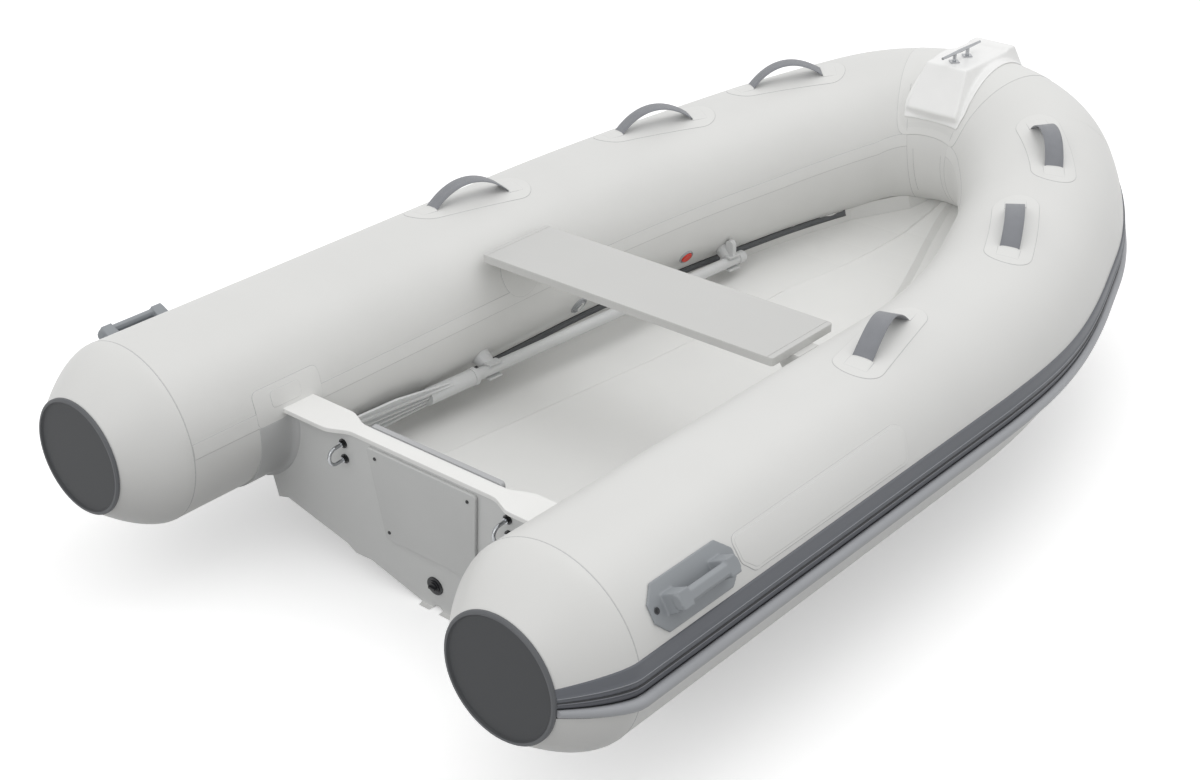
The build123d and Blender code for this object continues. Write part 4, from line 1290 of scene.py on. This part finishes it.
class BOAT_OT_hull(bpy.types.Operator):
    """Paints the rigid bottom and the deck"""

    bl_idname = "boat.hull"
    bl_label = "Hull and Deck"

    def execute(self, context):
        colours = context.scene.boat_colours
        paint(painted_aluminium("Painted aluminium hull", colours.paint), "hull_bottom")
        # The deck's paint is lighter than the hull's: painted light, standing for the light that falls
        # into the cockpit
        paint(painted_aluminium("Painted aluminium deck", colours.deck), "deck")
        # The black strip stands for the shade in the gap between the hull's flange and the tube: painted
        # shadow
        black = moulded("Black strip of painted gap shadow", "222325", 0.5, 1.0, 0.03)
        grey = moulded("Extruded grey edge rubber", "66686B", 0.5, 1.0, 0.03)
        # They cap the hull's flange, and their sections are (outboard, up) from the tube's axis. The
        # grey edging is rubber, and the black strip above it is painted shadow: a dark sheet where the
        # gap between the flange and the tube lies in shade.
        gap_shadow = [(-120.8, -174.0), (-119.6, -166.0), (-112.0, -166.0), (-116.0, -174.0)]
        edging = [(-123.6, -190.0), (-121.2, -173.5), (-118.4, -173.5), (-120.8, -190.0)]
        start, end = along_to(TRANSOM_Y + FLANGE_STRIPS_START), along_to(FLANGE_STRIPS_END_Y)
        path = [axis.at(start + (end - start) * i / 160)[0] for i in range(161)]
        for name, rubber, section in (("deck_seal", black, gap_shadow), ("deck_edging", grey, edging)):
            on_both_sides(name, swept(name, path, in_mm(section), rubber, solid=True), rubber)
        return {"FINISHED"}


class BOAT_OT_transom(bpy.types.Operator):
    """Finishes the transom, its cap and the motor plates, with their screws"""

    bl_idname = "boat.transom"
    bl_label = "Transom"

    def execute(self, context):
        colours = context.scene.boat_colours
        paint(painted_aluminium("Painted aluminium transom", colours.transom, 0.42), "transom")
        paint(moulded("Moulded white cap plastic", "EFEFED", 0.38, 1.5, 0.04), "transom_cap")
        paint(moulded("Moulded grey motor pad", "B4B5B7", 0.45, 1.5, 0.06), "motor_pad")
        paint(moulded("Moulded grey motor plate", "D0D1D0", 0.42, 1.5, 0.06), "motor_plate")
        black = moulded("Black plastic", "202124", 0.4, 0.8, 0.03)
        paint(black, "drain_fitting")
        outline = in_mm([(4.2, 0), (4.2, 1.2), (3.4, 2.2), (1.6, 2.5), (1.4, 1.2), (0, 1.2)])
        head = turned("head", outline, (0, 0, 0), (0, 0, 1), segments=16)
        low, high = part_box("motor_plate")
        rake = (high[1] - low[1] - 8 * MM) / (high[2] - low[2])
        aft = Vector((0, -1, -rake)).normalized()
        places = []
        for x, z in ((0.135, high[2] - 0.022), (0.118, low[2] + 0.022)):
            for sign in (1, -1):
                y = low[1] + rake * (high[2] - z)
                places.append((Vector((sign * x, y - 0.1 * MM, z)), aft, 0.0))
        low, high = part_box("drain_fitting")
        centre_z = (low[2] + high[2]) / 2
        for k in range(3):
            a = radians(90 + 120 * k)
            z = centre_z + sin(a) * 18 * MM
            y = high[1] - 3.2 * MM + rake * (centre_z - z)
            places.append((Vector((cos(a) * 18 * MM, y, z)), aft, 0.0))
        show("transom_screws", copies("transom_screws", places, head, black), black)
        collar = coated_fabric("PVC coated collar", colours.collar, mapped=False)
        on_both_sides("transom_collar", self.collar(), collar)
        return {"FINISHED"}

    def collar(self):
        """The flange that joins the transom's aft face to the side tube, and its flap on the tube."""
        # (height over the tube, distance abaft the board), in millimetres
        profile = [(-0.3, 100), (0.6, 99), (1.0, 96), (1.0, 60), (1.0, 34), (1.5, 24)]
        profile += [(2.8, 15), (5.5, 8), (9.5, 3.6), (14, 1.8), (15, -0.5)]
        points = []
        steps = 48
        for i in range(steps + 1):
            share = i / steps
            angle = radians(COLLAR_TOP + (COLLAR_FOOT - COLLAR_TOP) * share)
            thicken = 2.6 * min(max((share - 0.25) / 0.45, 0.0), 1.0)
            for rise, back in profile:
                flap = rise + (thicken * min(back / 30, 1.0) if rise > 0 else 0.0)
                radius = TUBE_RADIUS + (-0.3 if i in (0, steps) and back > 20 else flap) * MM
                z = AXIS_Z + radius * sin(angle)
                points.append((AXIS_X + radius * cos(angle), board_aft(z) - back * MM, z))
        mesh = mesh_from("transom_collar", points, grid_faces(steps + 1, len(profile)))
        middle = mesh.polygons[len(mesh.polygons) // 2]
        if middle.normal.y > 0:
            mesh.flip_normals()
        return mesh


class BOAT_OT_fittings(bpy.types.Operator):
    """Finishes the tow eyes, the cleat and the stern end caps"""

    bl_idname = "boat.fittings"
    bl_label = "Fittings"

    def execute(self, context):
        colours = context.scene.boat_colours
        steel = stainless("Polished stainless steel", "B4B6B9", 0.13)
        paint(steel, "tow_eye_starboard", "tow_eye_port", "bow_cleat")
        dark = moulded("Black nut plastic", "1E1F21", 0.35, 0.8, 0.02)
        for side in SIDES:
            mesh = NODES[f"tow_eye_{side}"].data
            mesh.materials.append(dark)
            for face in mesh.polygons:
                abaft = board_aft(face.center.z) - face.center.y
                face.material_index = int(abaft < NUT_REACH)
        paint(cap_rubber(colours), "end_cap_starboard", "end_cap_port")
        return {"FINISHED"}


class BOAT_OT_bench(bpy.types.Operator):
    """Finishes the bench and its brackets"""

    bl_idname = "boat.bench"
    bl_label = "Bench"

    def execute(self, context):
        colours = context.scene.boat_colours
        paint(painted_aluminium("Painted aluminium bench", colours.bench), "bench")
        paint(
            moulded("Moulded white bracket plastic", "DDDDDB", 0.45, 1.5, 0.05),
            "bench_bracket_starboard",
            "bench_bracket_port",
        )
        return {"FINISHED"}


class BOAT_OT_oars(bpy.types.Operator):
    """Finishes the oars and their clips"""

    bl_idname = "boat.oars"
    bl_label = "Oars"

    def execute(self, context):
        colours = context.scene.boat_colours
        shaft = moulded("Moulded grey oar plastic", colours.oar, 0.42, 1.5, 0.05)
        paint(shaft, "oar_starboard", "oar_port")
        clip = moulded("Moulded clip plastic", colours.oar, 0.48, 1.5, 0.05)
        paint(clip, "oar_clips_starboard", "oar_clips_port")
        return {"FINISHED"}


class BOAT_OT_bow_step(bpy.types.Operator):
    """Moulds the bow step over its CAD shape"""

    bl_idname = "boat.bow_step"
    bl_label = "Bow Step"

    def execute(self, context):
        colours = context.scene.boat_colours
        gloss = moulded("Moulded white bow step", colours.step, 0.3, 2.0, 0.03, coat=0.35)
        step = softened("bow_step_moulding", "bow_step", 2.5 * MM, 30)
        show("bow_step_moulding", step, gloss, stands_for=("bow_step",))
        return {"FINISHED"}


class BOAT_OT_carry_handles(bpy.types.Operator):
    """Moulds the carry handles over their CAD shape"""

    bl_idname = "boat.carry_handles"
    bl_label = "Carry Handles"

    def execute(self, context):
        colours = context.scene.boat_colours
        rubber = moulded("Moulded handle rubber", colours.handle, 0.55, 1.6, 0.08)
        handle = softened("carry_handle_moulding", "carry_handle_starboard", 1.8 * MM, 5)
        on_both_sides("carry_handle_moulding", handle, rubber, stands_for="carry_handle")
        eyelet = moulded("Moulded eyelet rubber", "3A3C3F", 0.5, 1.0, 0.03)
        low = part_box("carry_handle_starboard")[0]
        outward = Vector((cos(radians(HANDLE_ANGLE)), 0, sin(radians(HANDLE_ANGLE))))
        seat = Vector((AXIS_X, low[1] + EYELET_INSET, AXIS_Z)) + outward * TUBE_RADIUS
        profile = in_mm([(6.6, -1.0), (6.6, 4.6), (5.6, 5.6), (4.4, 5.2), (3.6, 1.2), (0, 1.0)])
        ring = turned("handle_eyelet", profile, seat, outward, segments=32)
        on_both_sides("handle_eyelet", ring, eyelet)
        return {"FINISHED"}


CAMERA_PLACE = (2.5335, -3.4175, 2.4129)
# How far the camera looks down, and how far round from +Y, in radians
CAMERA_FALL, CAMERA_TURN = 0.4897, 0.7008
SENSOR_WIDTH = 36
KEY_PLACE, FILL_PLACE = (0.6, -5.2, 3.4), (0.8, 1.6, 5.0)
LAMP_SIZE = 4.0
LAMP_AIM = Vector((0, 0, 0.3))
FLOOR_REACH = 14.0
FLOOR_GLOW = 0.35
WORLD_LIGHT = 0.78


class BOAT_OT_stage(bpy.types.Operator):
    """Lays the studio floor and sets the lights and the camera"""

    bl_idname = "boat.stage"
    bl_label = "Stage"

    def execute(self, context):
        scene, stage = context.scene, context.scene.boat_stage
        scene.view_settings.view_transform = "Standard"
        camera_data = bpy.data.cameras.new("Camera")
        camera = linked("Camera", camera_data)
        camera.location = CAMERA_PLACE
        camera.rotation_euler = (pi / 2 - CAMERA_FALL, 0, CAMERA_TURN)
        camera_data.lens = stage.lens
        camera_data.sensor_width = SENSOR_WIDTH
        scene.camera = camera
        self.floor(stage)
        self.world(scene)
        self.lamp("Key", KEY_PLACE, stage.key_power)
        self.lamp("Fill", FILL_PLACE, stage.fill_power)
        return {"FINISHED"}

    def lamp(self, name, place, power):
        data = bpy.data.lights.new(name, "AREA")
        data.shape = "SQUARE"
        data.size = LAMP_SIZE
        data.energy = power
        lamp = linked(name, data)
        lamp.location = place
        lamp.rotation_euler = (LAMP_AIM - Vector(place)).to_track_quat("-Z", "Y").to_euler()

    def floor(self, stage):
        turns = ((-1, -1), (1, -1), (1, 1), (-1, 1))
        corners = [(x * FLOOR_REACH, y * FLOOR_REACH, 0) for x, y in turns]
        mesh = mesh_from("floor", corners, [(0, 1, 2, 3)])
        floor = linked("floor", mesh)
        # Matt studio paper, which glows a little for the eye and in gloss so that it stays white
        paper = bpy.data.materials.new("Studio floor paper")
        tree = blank_tree(paper)
        bounce = add_node(tree, "ShaderNodeBsdfDiffuse", {"Color": linear(stage.floor_bounce)})
        matt = {"Roughness": 0.9, "Base Color": linear(stage.floor_colour)}
        plain = add_node(tree, "ShaderNodeBsdfPrincipled", matt)
        glow = add_node(tree, "ShaderNodeEmission", {"Strength": FLOOR_GLOW})
        both = add_node(tree, "ShaderNodeAddShader", None, {0: plain.outputs[0], 1: glow.outputs[0]})
        seen = self.seen(tree, "Is Glossy Ray")
        links = {0: seen, 1: bounce.outputs[0], 2: both.outputs[0]}
        mix = add_node(tree, "ShaderNodeMixShader", None, links)
        add_node(tree, "ShaderNodeOutputMaterial", None, {"Surface": mix.outputs[0]})
        mesh.materials.append(paper)

    def seen(self, tree, *rays):
        """1 on a ray from the camera, or of one of these kinds."""
        light_path = add_node(tree, "ShaderNodeLightPath")
        result = light_path.outputs["Is Camera Ray"]
        for ray in rays:
            links = {0: result, 1: light_path.outputs[ray]}
            result = add_node(tree, "ShaderNodeMath", {"operation": "MAXIMUM"}, links).outputs[0]
        return result

    def world(self, scene):
        world = bpy.data.worlds.new("Studio")
        scene.world = world
        tree = blank_tree(world)
        white = {"Color": (1, 1, 1, 1)}
        lighting = add_node(tree, "ShaderNodeBackground", white | {"Strength": WORLD_LIGHT})
        backdrop = add_node(tree, "ShaderNodeBackground", white | {"Strength": 1.0})
        seen = self.seen(tree, "Is Glossy Ray", "Is Transmission Ray")
        links = {0: seen, 1: lighting.outputs[0], 2: backdrop.outputs[0]}
        mix = add_node(tree, "ShaderNodeMixShader", None, links)
        add_node(tree, "ShaderNodeOutputWorld", None, {"Surface": mix.outputs[0]})


PIECES = (
    BOAT_OT_air_tubes,
    BOAT_OT_seams,
    BOAT_OT_patches,
    BOAT_OT_rub_rail,
    BOAT_OT_grab_straps,
    BOAT_OT_valves,
    BOAT_OT_hull,
    BOAT_OT_transom,
    BOAT_OT_fittings,
    BOAT_OT_bench,
    BOAT_OT_oars,
    BOAT_OT_bow_step,
    BOAT_OT_carry_handles,
    BOAT_OT_stage,
)


class BOAT_PT_pieces(bpy.types.Panel):
    """Lists the boat's pieces, sizes and colours"""

    bl_label = "Inflatable Boat"
    bl_idname = "BOAT_PT_pieces"
    bl_space_type = "VIEW_3D"
    bl_region_type = "UI"
    bl_category = "Boat"

    def draw(self, context):
        for piece in PIECES:
            self.layout.operator(piece.bl_idname)
        for group in (context.scene.boat_sizes, context.scene.boat_colours, context.scene.boat_stage):
            column = self.layout.column()
            for name in group.bl_rna.properties.keys():
                if name not in ("rna_type", "name"):
                    column.prop(group, name)


CLASSES = (BoatSizes, BoatColours, BoatStage) + PIECES + (BOAT_PT_pieces,)


def register():
    for kind in CLASSES:
        bpy.utils.register_class(kind)
    bpy.types.Scene.boat_sizes = PointerProperty(type=BoatSizes)
    bpy.types.Scene.boat_colours = PointerProperty(type=BoatColours)
    bpy.types.Scene.boat_stage = PointerProperty(type=BoatStage)


def unregister():
    del bpy.types.Scene.boat_stage
    del bpy.types.Scene.boat_colours
    del bpy.types.Scene.boat_sizes
    for kind in reversed(CLASSES):
        bpy.utils.unregister_class(kind)


def main():
    register()
    global axis
    axis = build_axis()
    sweep_tree()
    copies_tree()
    for piece in PIECES:
        group, name = piece.bl_idname.split(".")
        getattr(getattr(bpy.ops, group), name)()


if __name__ == "__main__":
    main()
